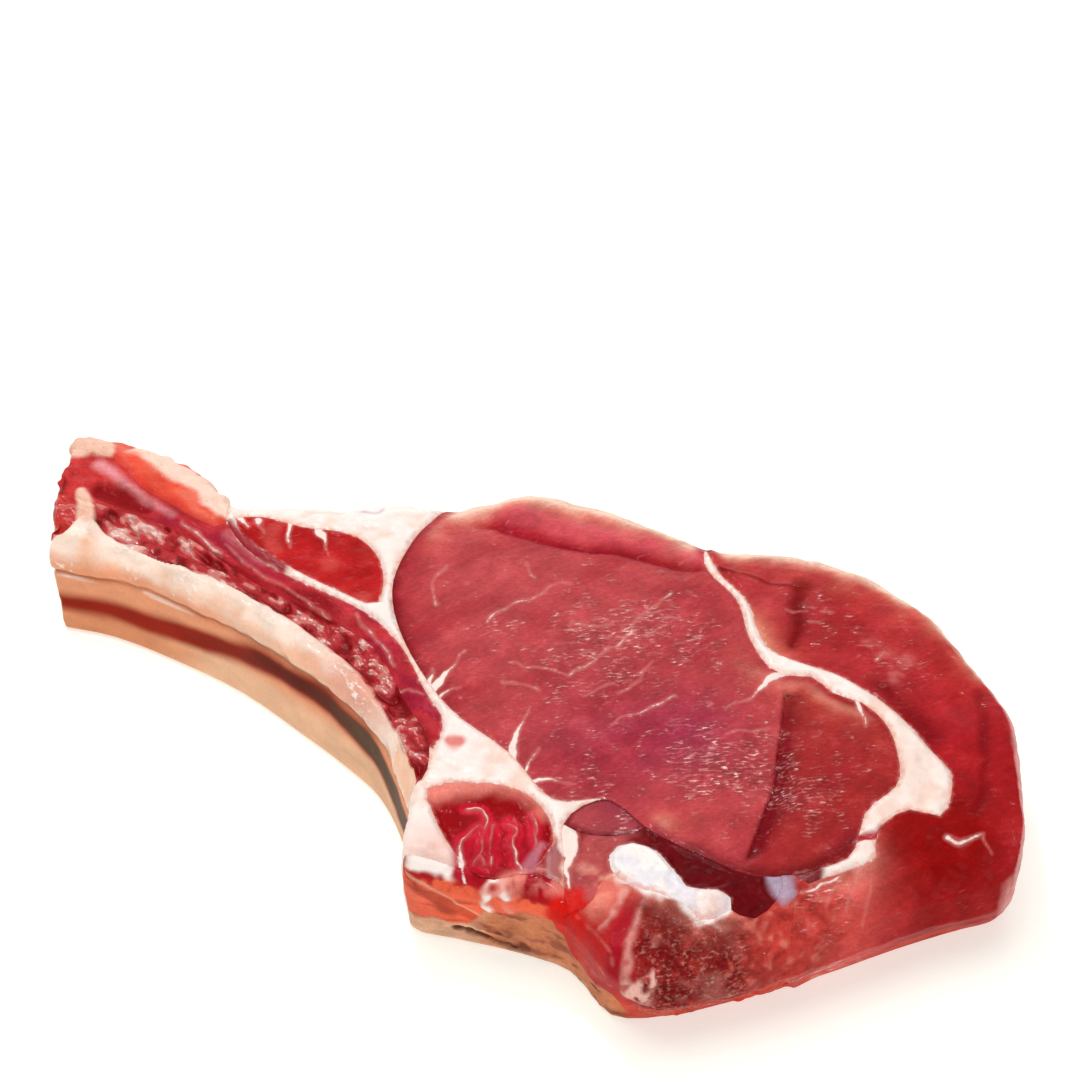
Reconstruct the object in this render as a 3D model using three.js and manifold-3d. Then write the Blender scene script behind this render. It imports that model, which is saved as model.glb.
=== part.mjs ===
// Raw veal rib chop, lying on one cut face. A slab about one inch thick holds the rib and chine bones,
// the muscles and the fat between them. Millimetres, +Z up: the rib points to -X, its far tip to +Y.
import * as THREE from "three";
import { mergeVertices } from "three/addons/utils/BufferGeometryUtils.js";
import Module from "manifold-3d";

const wasm = await Module();
wasm.setup();

// Driving dimensions
const THICKNESS = 25; // between the two cut faces
const SEAM_GAP = 0.3; // between neighbouring solids
const FOOT_ROUND = 1.2; // rounding of the lower edge
const END_SWELL = 2.5; // how far the two end faces bulge
const TIP_SLANT = 2; // how far the sawn end of the rib leans back at its foot
const TIP_REACH = 18; // length of rib over which that lean fades
const STATIONS_PER_STRETCH = 3; // cross-sections between two rows of the table below
const ROLL_STEPS = 3; // facets round the upper edge
const TOP_STEPS = 13; // facets across the cut face
const SEAM_STEP = 3; // facet length along a seam
const TUCK_REACH = 26; // how far in from the near edge the body leans with it
const LEAN_BLEND = 3; // how softly neighbouring stations share that lean

// How an edge of the slab is shaped: the cut face rolls down by drop over roll,
// the wall bellies out, and the foot is tucked in under the edge.
const PLEURA = { drop: 8, roll: 5.5, belly: 0, tuck: -2.5 };
const BAY = { drop: 5, roll: 4, belly: 0, tuck: 1 };
const CHINE = { drop: 5, roll: 4.5, belly: 0, tuck: 4.5 };
const FEATHER = { drop: 11, roll: 15, belly: 0, tuck: 10 };
const BACK = { drop: 7, roll: 8, belly: 1.5, tuck: 2 };
const FLANK = { drop: 6, roll: 8, belly: 0.8, tuck: 0 };
const LOIN = { drop: 5, roll: 9, belly: 0.8, tuck: 0 };

// Cross-sections of the slab from the rib's tip to the back: the near edge (inside of the rib cage,
// then chine and feather bones) and the far edge (outer side of the animal).
const SECTIONS = [
  { near: [-102.5, 43.5], edge: PLEURA, far: [-99, 78.5], back: FLANK },
  { near: [-90, 40.5], edge: PLEURA, far: [-87, 75.5], back: FLANK },
  { near: [-76, 33.5], edge: PLEURA, far: [-71, 65.5], back: FLANK },
  { near: [-62, 24.5], edge: PLEURA, far: [-64, 56], back: FLANK },
  { near: [-49, 13], edge: PLEURA, far: [-51, 56], back: FLANK },
  { near: [-39, 3.5], edge: PLEURA, far: [-40, 55], back: FLANK },
  { near: [-32, -4.5], edge: PLEURA, far: [-31, 56.5], back: FLANK },
  { near: [-27, -16], edge: PLEURA, far: [-22, 55], back: LOIN },
  { near: [-24, -30], edge: BAY, far: [-12, 56], back: LOIN },
  { near: [-25.5, -43], edge: CHINE, far: [-3, 60], back: LOIN },
  { near: [-17, -46], edge: CHINE, far: [8, 57], back: LOIN },
  { near: [-5, -49.5], edge: CHINE, far: [20, 52], back: LOIN },
  { near: [5, -54], edge: CHINE, far: [30, 46.5], back: LOIN },
  { near: [12.5, -64.5], edge: CHINE, far: [38, 43], back: BACK },
  { near: [21, -68.5], edge: FEATHER, far: [50, 42], back: BACK },
  { near: [34, -65.5], edge: FEATHER, far: [62, 39], back: BACK },
  { near: [50, -60], edge: FEATHER, far: [76, 29], back: BACK },
  { near: [66, -53], edge: FEATHER, far: [86, 12], back: BACK },
  { near: [79, -48], edge: FEATHER, far: [92, -1], back: BACK },
  { near: [86, -45.5], edge: FEATHER, far: [93, -14], back: BACK },
  { near: [89.5, -42], edge: FEATHER, far: [92, -30], back: BACK },
];

// Low relief of the upper cut face: hollows (negative) and swells, each along a line, fading over its spread.
const RELIEF = [
  { name: "hollow between rib and flap", height: -3, spread: 4, line: [[-90, 50], [-65, 38], [-42, 17], [-27, -4]] },
  { name: "crown of the eye", height: 1.2, spread: 26, line: [[-5, 22], [25, 5], [45, -18]] },
  { name: "fold in the eye", height: -1.2, spread: 3, line: [[48, 2], [45, -20], [40, -40]] },
  { name: "edge crease of the eye", height: -1, spread: 3, line: [[-20, 48], [5, 46], [30, 38]] },
  { name: "ridge of the feather bone", height: 1, spread: 6, line: [[18, -45], [32, -53]] },
];

// Outlines on the cut face, as closed curves. A later piece gives way to the earlier ones,
// and outlines run past the slab where a piece reaches its outer edge.
const PIECES = [
  {
    name: "eye_muscle",
    colour: 0xb0323c,
    roughness: 0.4,
    outline: [[-22, 50], [-14, 66], [10, 70], [34, 52], [34, 35], [40, 25], [42, 14], [46.5, 5], [54, 3.5], [58, -1],
      [63.5, -3.5], [67.5, -9], [69, -16], [68.5, -24], [62, -31], [60, -37], [58, -42], [52, -45], [41, -47],
      [30, -42], [21, -36], [13, -28], [3, -28], [-6, -16], [-18, -4], [-28, 16], [-30, 30], [-26, 43]],
  },
  {
    name: "cap_muscle",
    colour: 0xa8242a,
    roughness: 0.4,
    outline: [[36, 54], [36, 35], [42, 25], [44, 15.5], [46, 11], [52, 7.5], [59.5, 4], [69.5, -5.5], [76.5, -17],
      [79, -21], [76, -32], [70.5, -30.5], [65.5, -33.5], [63, -38], [63, -42], [57, -45.5], [48, -50], [46, -62],
      [42, -80], [112, -80], [114, 0], [76, 58]],
  },
  {
    name: "rib_bone",
    colour: 0xe9b893,
    roughness: 0.35,
    outline: [[-112, 50], [-99, 54], [-87, 48], [-70, 37], [-57, 27.5], [-45, 16.5], [-35, 6.5], [-30, -4], [-26, -15],
      [-24, -25], [-34, -32], [-50, -6], [-76, 16], [-104, 28]],
  },
  {
    name: "intercostal_muscle",
    colour: 0x9c3038,
    roughness: 0.35,
    outline: [[-112, 58], [-93, 54.5], [-81, 50], [-70, 43], [-59, 33.5], [-46, 24], [-34, 13.5], [-27, 0],
      [-21.5, -14], [-23, -23], [-32, -14], [-42, 4], [-62, 22], [-86, 40], [-110, 46]],
  },
  {
    name: "skirt_muscle",
    colour: 0xe0705c,
    roughness: 0.4,
    outline: [[-106, 73], [-94, 70.5], [-89.5, 66], [-83, 58], [-77, 53.5], [-71, 49], [-66, 47], [-65.5, 56],
      [-60, 72], [-80, 90], [-108, 92]],
  },
  {
    name: "flap_muscle",
    colour: 0x9a2436,
    roughness: 0.4,
    outline: [[-114, 66], [-108, 92], [-80, 92], [-69, 62], [-65.5, 49], [-62, 42.5], [-53, 34], [-44, 28], [-34.5, 21],
      [-28, 12.5], [-22.5, 0], [-19, -8], [-21, -15], [-30, 0], [-46, 18], [-62, 30], [-82, 46], [-112, 54]],
  },
  {
    name: "side_muscle",
    colour: 0xa31a1c,
    roughness: 0.4,
    outline: [[-63.5, 50], [-58, 50.5], [-50, 47], [-39, 44.5], [-33.5, 38], [-32, 29], [-33.5, 24], [-40, 27.5],
      [-49, 33.5], [-57, 40], [-62, 45]],
  },
  {
    name: "button_muscle",
    colour: 0xa23a46,
    roughness: 0.4,
    outline: [[4.5, -34], [7.5, -30], [12, -28], [17, -30], [20.5, -35], [15, -37], [9, -36.5]],
  },
  {
    name: "chine_muscle",
    colour: 0xa8101e,
    roughness: 0.35,
    outline: [[-21.5, -25], [-13, -23.5], [-4, -25.5], [1, -31], [2.5, -38], [-0.5, -44], [-7, -46.5], [-13, -45],
      [-17, -39], [-20, -32]],
  },
  {
    name: "cartilage",
    colour: 0xf2ece4,
    roughness: 0.3,
    outline: [[13, -42], [16, -39], [21, -40.5], [25, -46], [27.5, -50], [33, -50.5], [35.5, -53.5], [30, -57],
      [26, -53], [19, -50], [14, -47]],
  },
  {
    name: "deep_muscle",
    colour: 0x7c1626,
    roughness: 0.35,
    outline: [[5, -33], [20, -32], [43, -43], [45, -49.5], [39, -56], [33, -53], [20, -46], [12, -47], [9, -53.5],
      [5.5, -54], [4.5, -42]],
  },
  {
    name: "chine_bone",
    colour: 0x9c3a30,
    roughness: 0.55,
    outline: [[-32, -40], [-24, -41], [-15, -44], [-6, -46], [1, -46.5], [6, -50], [10, -46], [20, -44], [36, -48],
      [48, -47], [52, -54], [46, -84], [10, -90], [-36, -62]],
  },
];
const FAT = { names: ["side_fat", "cap_fat"], colour: 0xf4e2d4, roughness: 0.35 }; // the larger first

const lerp = THREE.MathUtils.lerp;

// A smooth plan curve through points, sampled at count even steps of its own parameter.
function planCurve(points, closed = false) {
  const curve = new THREE.CatmullRomCurve3(points.map(([x, y]) => new THREE.Vector3(x, y, 0)), closed);
  curve.curveType = "centripetal";
  return curve;
}

// Closest distance from a plan position to a polyline.
function distanceTo(line, x, y) {
  let best = Infinity;
  for (let i = 0; i + 1 < line.length; i++) {
    const [ax, ay] = line[i];
    const [dx, dy] = [line[i + 1][0] - ax, line[i + 1][1] - ay];
    const along = THREE.MathUtils.clamp(((x - ax) * dx + (y - ay) * dy) / (dx * dx + dy * dy), 0, 1);
    best = Math.min(best, Math.hypot(x - ax - along * dx, y - ay - along * dy));
  }
  return best;
}

function relief(x, y) {
  return RELIEF.reduce((sum, { height, spread, line }) => {
    const away = distanceTo(line, x, y) / spread;
    return sum + height * Math.exp(-away * away);
  }, 0);
}

// Edge shapes blend linearly from one row of the table to the next.
function blendEdges(a, b, share) {
  return Object.fromEntries(Object.keys(a).map((key) => [key, lerp(a[key], b[key], share)]));
}

// The table's rows with the cross-sections between them.
function stations() {
  const near = planCurve(SECTIONS.map((row) => row.near));
  const far = planCurve(SECTIONS.map((row) => row.far));
  const stretches = SECTIONS.length - 1;
  const count = stretches * STATIONS_PER_STRETCH;
  return Array.from({ length: count + 1 }, (_, i) => {
    const place = (i / count) * stretches;
    const row = Math.min(Math.floor(place), stretches - 1);
    const [a, b] = [SECTIONS[row], SECTIONS[row + 1]];
    return {
      near: near.getPoint(i / count),
      far: far.getPoint(i / count),
      edge: blendEdges(a.edge, b.edge, place - row),
      back: blendEdges(a.back, b.back, place - row),
    };
  });
}

// One wall with its rolled upper edge, from the foot up: [distance in from the edge, height, share of relief].
// Where the slab is narrow the roll is scaled down to fit.
function wall({ drop, roll, belly }, fit) {
  const top = THICKNESS - drop;
  const points = [[FOOT_ROUND, 0, 0], [0, FOOT_ROUND, 0], [-belly, top * 0.55, 0], [0, top, 0]];
  for (let i = 1; i <= ROLL_STEPS; i++) {
    const turn = (i / ROLL_STEPS) * (Math.PI / 2);
    points.push([fit * roll * (1 - Math.cos(turn)), top + drop * Math.sin(turn), Math.sin(turn)]);
  }
  return points;
}

// A closed cross-section: up the near wall, over the cut face, down the far wall.
function ring({ near, far, edge, back }) {
  const across = far.clone().sub(near);
  const width = across.length();
  across.normalize();
  const fit = Math.min(1, (0.8 * width) / (edge.roll + back.roll));
  const cutFace = [];
  for (let i = 1; i < TOP_STEPS; i++)
    cutFace.push([lerp(fit * edge.roll, width - fit * back.roll, i / TOP_STEPS), THICKNESS, 1]);
  const farWall = wall(back, fit).map(([inward, z, share]) => [width - inward, z, share]);
  return [...wall(edge, fit), ...cutFace, ...farWall.reverse()].map(([offset, z, share]) => {
    const point = near.clone().addScaledVector(across, offset);
    point.z = z + share * relief(point.x, point.y);
    return point;
  });
}

// A closed skin over a row of rings, with a swollen fan over each end.
function loft(rings) {
  const size = rings[0].length;
  const points = rings.flat();
  const index = [];
  for (let i = 0; i + 1 < rings.length; i++)
    for (let j = 0; j < size; j++) {
      const a = i * size + j;
      const b = i * size + ((j + 1) % size);
      index.push(a, b + size, b, a, a + size, b + size);
    }
  const middle = (r) => r.reduce((sum, p) => sum.add(p), new THREE.Vector3()).divideScalar(size);
  const addEnd = (first, inner, flip) => {
    const own = rings[first / size];
    const apex = middle(own);
    apex.add(apex.clone().sub(middle(inner)).setZ(0).setLength(END_SWELL));
    points.push(apex);
    for (let j = 0; j < size; j++) {
      const pair = [first + j, first + ((j + 1) % size)];
      index.push(...(flip ? pair : pair.reverse()), points.length - 1);
    }
  };
  addEnd(0, rings[1], true);
  addEnd((rings.length - 1) * size, rings.at(-2), false);
  return new THREE.BufferGeometry().setFromPoints(points).setIndex(index);
}

// Solids for cutting, and geometry back from them
function solidOf(geometry) {
  geometry.deleteAttribute("normal");
  geometry.deleteAttribute("uv");
  const merged = mergeVertices(geometry);
  const vertProperties = merged.attributes.position.array;
  return new wasm.Manifold(new wasm.Mesh({ numProp: 3, vertProperties, triVerts: new Uint32Array(merged.index.array) }));
}

function geometryOf(solid) {
  const { vertProperties, triVerts } = solid.getMesh();
  const geometry = new THREE.BufferGeometry();
  geometry.setAttribute("position", new THREE.BufferAttribute(new Float32Array(vertProperties), 3));
  return geometry.setIndex(new THREE.BufferAttribute(new Uint32Array(triVerts), 1));
}

// An upright cutter through the whole slab on a closed outline, grown or shrunk by an even margin.
function cutter(outline, margin) {
  const curve = planCurve(outline, true);
  const points = curve.getSpacedPoints(Math.round(curve.getLength() / SEAM_STEP)).slice(0, -1);
  const outward = THREE.ShapeUtils.area(points) > 0 ? margin : -margin;
  const moved = points.map((point, i) => {
    const along = points[(i + 1) % points.length].clone().sub(points.at(i - 1)).normalize();
    return new THREE.Vector2(point.x + along.y * outward, point.y - along.x * outward);
  });
  const spare = THICKNESS;
  const block = new THREE.ExtrudeGeometry(new THREE.Shape(moved), { depth: THICKNESS + 2 * spare, bevelEnabled: false });
  return solidOf(block.translate(0, 0, -spare));
}

// The body leans in under its near edge and back under the rib's tip: a point moves inwards the lower it is
// and the nearer the edge. The stations round it share in the push by their nearness.
function lean(geometry, sections) {
  const position = geometry.attributes.position;
  const point = new THREE.Vector3();
  for (let i = 0; i < position.count; i++) {
    point.fromBufferAttribute(position, i);
    const flat = point.clone().setZ(0);
    const push = new THREE.Vector3();
    let total = 0;
    for (const { near, far, edge } of sections) {
      const away = near.distanceTo(flat);
      const share = (away ** 2 + LEAN_BLEND ** 2) ** -2;
      const height = Math.min(point.z / (THICKNESS - edge.drop), 1);
      const amount = edge.tuck * (1 - height) * Math.max(1 - away / TUCK_REACH, 0) ** 2;
      push.addScaledVector(far.clone().sub(near).normalize(), amount * share);
      total += share;
    }
    point.addScaledVector(push, 1 / total);
    const fromTip = THREE.MathUtils.clamp((flat.x - sections[0].near.x) / TIP_REACH, 0, 1);
    point.x += TIP_SLANT * (1 - point.z / THICKNESS) * (1 - fromTip) ** 2;
    position.setXYZ(i, point.x, point.y, point.z);
  }
  return geometry;
}

// The chop: one slab, cut along its seams into bones and muscles, with the fat left between them.
const sections = stations();
const slab = solidOf(loft(sections.map(ring)));
const chop = new THREE.Group();

function addPiece(solid, { name, colour, roughness }) {
  const material = new THREE.MeshStandardMaterial({ color: colour, roughness, metalness: 0 });
  const mesh = new THREE.Mesh(lean(geometryOf(solid), sections), material);
  mesh.name = name;
  chop.add(mesh);
}

const bySize = (solid) => solid.decompose().sort((a, b) => b.volume() - a.volume());
let rest = slab;
for (const piece of PIECES) {
  addPiece(bySize(rest.intersect(cutter(piece.outline, -SEAM_GAP / 2)))[0], piece);
  rest = rest.subtract(cutter(piece.outline, SEAM_GAP / 2));
}
const lumps = bySize(rest);
FAT.names.forEach((name, i) => addPiece(lumps[i], { ...FAT, name }));

// The origin is the middle of the underside.
const middle = new THREE.Box3().setFromObject(chop).getCenter(new THREE.Vector3());
chop.children.forEach((mesh) => mesh.geometry.translate(-middle.x, -middle.y, 0));

export default chop;
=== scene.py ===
"""A raw veal rib chop lying on its cut face on a pale floor."""
import itertools

import bmesh
import bpy
import numpy as np
from mathutils import Matrix, Vector
from mathutils.bvhtree import BVHTree
from mathutils.kdtree import KDTree


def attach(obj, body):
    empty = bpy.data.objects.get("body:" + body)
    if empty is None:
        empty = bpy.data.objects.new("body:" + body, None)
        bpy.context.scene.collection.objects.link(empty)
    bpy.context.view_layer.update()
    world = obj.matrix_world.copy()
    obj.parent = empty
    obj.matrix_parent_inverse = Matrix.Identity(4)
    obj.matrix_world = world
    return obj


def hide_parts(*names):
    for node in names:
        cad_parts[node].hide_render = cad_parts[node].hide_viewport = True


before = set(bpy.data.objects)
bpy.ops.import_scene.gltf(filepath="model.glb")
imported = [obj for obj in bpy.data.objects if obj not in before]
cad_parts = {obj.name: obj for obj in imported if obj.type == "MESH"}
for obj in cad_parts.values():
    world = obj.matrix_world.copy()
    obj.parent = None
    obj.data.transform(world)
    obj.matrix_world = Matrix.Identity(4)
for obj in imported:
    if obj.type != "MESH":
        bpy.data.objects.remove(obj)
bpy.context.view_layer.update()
MM = 0.001  # in metres: sizes and places are given in millimetres

# The slab: the chop is one slice sawn and cut across the rib cage, so bones, muscles and fat share one face.
# Its skin is a fine mesh over all the solids together, and each piece is then cut out of it,
# which leaves the pieces flush along their seams.
SKIN_GRAIN = 0.4
SKIN_EASE = 8
WELD = 0.001
SEAM_FILL = 0.16
SKIN_FILL = 1.3 * SEAM_FILL
SPARE = 1.6
MOST_GROWTH = 1.8
NEIGHBOUR = 0.6
FACE_TO_FACE = -0.7


def closed_mesh(node):
    """A node's solid as a bmesh with its corners welded."""
    solid = bmesh.new()
    solid.from_mesh(node.data)
    bmesh.ops.remove_doubles(solid, verts=solid.verts, dist=WELD * MM)
    solid.normal_update()
    return solid


def new_object(name, mesh):
    made = bpy.data.objects.new(name, mesh)
    bpy.context.scene.collection.objects.link(made)
    return made


def applied(made):
    """Turns an object's modifiers into its mesh."""
    bpy.context.view_layer.update()
    mesh = bpy.data.meshes.new_from_object(made.evaluated_get(bpy.context.evaluated_depsgraph_get()))
    made.modifiers.clear()
    made.data = mesh
    return made


def places(mesh):
    """Corner positions in millimetres."""
    flat = np.empty(len(mesh.vertices) * 3, np.float32)
    mesh.vertices.foreach_get("co", flat)
    return flat.reshape(-1, 3).astype(float) / MM


def put(mesh, points):
    mesh.vertices.foreach_set("co", (points * MM).astype(np.float32).ravel())
    mesh.update()


def search_tree(names):
    """A search tree over the solids of these nodes."""
    corners, faces = [], []
    for name in names:
        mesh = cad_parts[name].data
        faces += [[i + len(corners) for i in face.vertices] for face in mesh.polygons]
        corners += [v.co.copy() for v in mesh.vertices]
    return BVHTree.FromPolygons(corners, faces)


def others(name):
    return [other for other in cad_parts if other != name]


def grown(solid, amount_of):
    """Moves each face of a solid out by its own amount, and its corners with the faces they join."""
    moves = []
    for corner in solid.verts:
        pull = Matrix.Diagonal(Vector((1e-3, 1e-3, 1e-3)))
        aim = Vector()
        whole = sum(face.calc_area() for face in corner.link_faces)
        for face in corner.link_faces:
            n = face.normal
            share = face.calc_area() / whole
            pull += Matrix([n * n.x, n * n.y, n * n.z]) * share
            aim += n * (amount_of[face.index] * share)
        move = pull.inverted() @ aim
        most = MOST_GROWTH * max(amount_of[face.index] for face in corner.link_faces)
        moves.append(move * min(1, most / max(move.length, 1e-9)))
    for corner, move in zip(solid.verts, moves):
        corner.co += move


def cutter(name):
    """A node's solid grown past the skin, but only to the middle of the seam where a neighbour stands."""
    solid = closed_mesh(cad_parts[name])
    around = search_tree(others(name))
    amount = []
    for face in solid.faces:
        found, facing, _, _ = around.find_nearest(face.calc_center_median(), NEIGHBOUR * MM)
        seam = found is not None and facing.dot(face.normal) < FACE_TO_FACE
        amount.append((SEAM_FILL if seam else SPARE) * MM)
    grown(solid, amount)
    mesh = bpy.data.meshes.new("cutter")
    solid.to_mesh(mesh)
    solid.free()
    return new_object("cutter", mesh)


def make_skin():
    whole = bmesh.new()
    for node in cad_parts.values():
        solid = closed_mesh(node)
        grown(solid, [SKIN_FILL * MM] * len(solid.faces))
        mesh = bpy.data.meshes.new("lump")
        solid.to_mesh(mesh)
        solid.free()
        whole.from_mesh(mesh)
        bpy.data.meshes.remove(mesh)
    mesh = bpy.data.meshes.new("skin")
    whole.to_mesh(mesh)
    whole.free()
    made = new_object("skin", mesh)
    remesh = made.modifiers.new("fine", "REMESH")
    remesh.mode = "VOXEL"
    remesh.voxel_size = SKIN_GRAIN * MM
    ease = made.modifiers.new("ease", "SMOOTH")
    ease.factor = 0.5
    ease.iterations = SKIN_EASE
    applied(made)
    points = places(made.data)
    points[:, 2] = np.maximum(points[:, 2], 0)
    put(made.data, points)
    return made


skin = make_skin()


def cut_out(name):
    """Cuts a node's piece out of the skin, which keeps the rest."""
    tool = cutter(name)
    piece = new_object(name + "_cut", skin.data.copy())
    for made, what in ((piece, "INTERSECT"), (skin, "DIFFERENCE")):
        cut = made.modifiers.new("cut", "BOOLEAN")
        cut.operation = what
        cut.solver = "MANIFOLD"
        cut.object = tool
        applied(made)
    bpy.data.objects.remove(tool)
    return piece


def finer(piece):
    """Splits each face of a piece in four, for lines finer than the skin's grain."""
    split = piece.modifiers.new("split", "SUBSURF")
    split.subdivision_type = "SIMPLE"
    return applied(piece)


# Eye muscle: the round main muscle of the loin, lean veal cut across its fibres, with thin threads of fat,
# a deep fold near the back, and a crease along its outer edge. The fat and the cap grow against it.
WHITE_PIECES = ("side_fat", "cap_fat", "cartilage")
FAR_ROOM = 12
NONE = -9
SEAM_FADE = 1.5
SEAM_SINK = 0.25
SEAM_WIDE = 1.2
SEAM_ANGLE = np.radians(50)
EYE_FOLD = [(53, -5.5), (52, -14.5), (50.7, -23), (49.7, -30), (47.7, -36), (45.7, -42), (43, -49)]
EYE_NOTCH = [(53, -6), (54.5, -6.5), (56, -8), (58.5, -10.5)]
EYE_CREASE = [(-10, 42.5), (-3.5, 40), (2, 37.8), (6.5, 35.6), (14.5, 33.4), (20, 33), (25.5, 31.6),
              (30.5, 29.8), (37, 28)]
EYE_LIP = [(-8, 47.5), (2, 43.5), (14.5, 39), (25.5, 36.5), (36, 32.5)]
EYE_LOWER_EDGE = [(26, -42.5), (33, -46.5), (38.3, -49.5), (43, -51), (47, -52), (52, -51.5),
                  (56.7, -49.8), (61.7, -47), (64, -43.5)]
EYE_THREADS = [
    ([(-6, 12.5), (-5, 14), (-1.5, 17), (4.5, 20.5), (7, 23), (11, 24)], 0.3, 0.1),
    ([(-1, 1.5), (5.5, 0), (9, -2), (11.5, -1.5), (18.5, 5.5), (20.5, 6.5), (25, 14), (31.5, 21.5)],
     0.2, 0.2),
    ([(-2.5, -3.5), (3, -4.5), (4.5, -5.5)], 0.2, 0.1),
    ([(11.5, 12.5), (16.5, 11.5), (20, 12.5)], 0.1, 0.1),
    ([(13, -7.5), (18, -4.5), (20, -4.5)], 0.15, 0.15),
    ([(18.5, -14.5), (25.5, -11), (31.5, -7.5)], 0.15, 0.25),
    ([(20, -7), (23.5, -3.5), (27, 2)], 0.15, 0.1),
    ([(-14.5, 29), (-17, 24), (-16, 18)], 0.1, 0.2),
    ([(2, 30), (2.5, 26.5), (4, 25.5)], 0.1, 0.15),
    ([(41, -18), (44, -17), (49.5, -15.5)], 0.15, 0.1),
]
EYE_PRONGS = [
    ([(-17, -6), (-14, -1.5), (-13, 0), (-10.5, 5)], 1.3, 0.1),
    ([(-17.5, -4), (-16.8, -1), (-16.5, 1)], 0.7, 0.05),
    ([(-15.5, -7.5), (-13, -5.5), (-11, -5)], 0.6, 0.05),
    ([(-0.5, -24), (0, -18), (1, -14), (2.5, -10)], 1.2, 0.1),
    ([(1.5, -28), (2.5, -24.5), (4, -20.5)], 0.8, 0.1),
    ([(2, -29), (7, -28.5), (11, -29.5)], 0.8, 0.1),
    ([(54, 1), (49, -4), (46, -8), (41, -11)], 1.2, 0.05),
    ([(64.5, -5.5), (67.5, -9.5), (68.5, -15.5)], 1.0, 0.3),
]
EYE_GLINTS = [
    ((16, 3), 26, 0.4), ((29, 14), 6, 0.4), ((36, 6), 6, 0.35), ((43, -25), 11, 0.6), ((56, -34), 9, 0.5),
    ((14, -29), 6, 0.4), ((34, -27), 8, 0.35), ((20, 8), 8, 0.3), ((58, -20), 9, 0.1),
]
EYE_RED, EYE_ROSE_SHEEN, EYE_PLUM, EYE_BROWN, EYE_DARK_SHADE = "b84044", "be4a4d", "9e2c46", "a02422", "6e0a14"
EYE_CRIMSON_SHADE, EYE_DEEP_SHADE, EYE_LIP_SHEEN, CREVICE_SHADE = "a60420", "7c0212", "d24e5a", "3c0406"
RIM_SALMON_FILM_AND_BACKLIGHT, RIM_CREAM_FILM_AND_BACKLIGHT, HIDE_ROSE, HIDE_PALE, EYE_SHADE = "ee785a", "fdd8c0", "c86a60", "eec0ae", "a4222e"


def ramp(value, low, high):
    """Rises smoothly from 0 to 1 between low and high."""
    share = np.clip((value - low) / (high - low), 0, 1)
    return share * share * (3 - 2 * share)


def lumps(points, size, seed):
    """Smooth random bumps from -1 to 1, about one to each size in millimetres, or to each of three sizes."""
    cell = points / np.asarray(size)
    cell = cell + 0.35 * np.sin(1.7 * cell[:, [1, 2, 0]] + seed)
    low = np.floor(cell).astype(np.int64)
    share = ramp(cell - low, 0, 1)
    total = np.zeros(len(points))
    for corner in itertools.product((0, 1), repeat=3):
        at = (low + corner) * (73856093, 19349663, 83492791)
        draw = at[:, 0] ^ at[:, 1] ^ at[:, 2] ^ (seed * 40503)
        draw = (draw ^ (draw >> 13)) * 1274126177 & 0x7FFFFFFF
        draw = (draw ^ (draw >> 16)) * 73244475 & 0x7FFFFFFF
        total += np.prod(np.where(corner, share, 1 - share), axis=1) * (draw / 0x3FFFFFFF - 1)
    return total


def turned(points, degrees):
    """The points in a frame turned about the upright, to draw lumps out along another direction."""
    c, s = np.cos(np.radians(degrees)), np.sin(np.radians(degrees))
    x, y, z = points.T
    return np.column_stack([c * x + s * y, c * y - s * x, z])


def wavy(points, much, size, seed):
    """The points pushed about in plan, so that what is drawn on them wavers."""
    push = np.column_stack([lumps(points, size, seed), lumps(points, size, seed + 1), np.zeros(len(points))])
    return points + much * push


def curve(line, steps=6):
    """A smooth plan curve through a few points."""
    line = np.array(line, float)
    ends = np.vstack([2 * line[0] - line[1], line, 2 * line[-1] - line[-2]])
    out = []
    for a, b, c, d in zip(ends, ends[1:], ends[2:], ends[3:]):
        for t in np.arange(steps) / steps:
            at = 2 * b + (c - a) * t
            at = at + (2 * a - 5 * b + 4 * c - d) * t**2 + (3 * b - a - 3 * c + d) * t**3
            out.append(0.5 * at)
    return np.array(out + [line[-1]])


def strand(points, line, start, end, sided=False):
    """How deep each point lies in a strand drawn in plan: its half width there less the distance to its
    middle. Sided gives the distance instead, less than nothing to the right of the line."""
    line = curve(line)
    widths = end + (start - end) * np.linspace(1, 0, len(line)) ** 1.6
    flat = points[:, :2]
    depth = np.full(len(points), -1e3)
    side = np.zeros(len(points))
    for a, b, wide_a, wide_b in zip(line, line[1:], widths, widths[1:]):
        step = b - a
        off = flat - a
        share = np.clip(off @ step / (step @ step), 0, 1)
        here = wide_a + share * (wide_b - wide_a) - np.hypot(*(off - share[:, None] * step).T)
        side = np.where(here > depth, step[0] * off[:, 1] - step[1] * off[:, 0], side)
        depth = np.maximum(depth, here)
    return -depth * np.sign(side) if sided else depth


def strands(points, lines):
    return np.max([strand(points, *line) for line in lines], axis=0)


def stroke(points, line, start, end, soft):
    """The cover of a soft-edged stroke drawn in plan."""
    return ramp(strand(points, line, start, end), -soft, soft)


def fading(aside, right, left):
    """1 on a line, and fading over a distance of its own on each side of it."""
    return np.where(aside < 0, np.exp(np.minimum(aside, 0) / right), np.exp(-np.maximum(aside, 0) / left))


def glow(points, middle, reach):
    """A soft spot in plan, 1 at its middle."""
    away = np.hypot(points[:, 0] - middle[0], points[:, 1] - middle[1]) / reach
    return np.exp(-away * away)


def glows(points, spots):
    """Soft spots added up, each with its middle, reach and strength."""
    return sum(strength * glow(points, middle, reach) for middle, reach, strength in spots)


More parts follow.
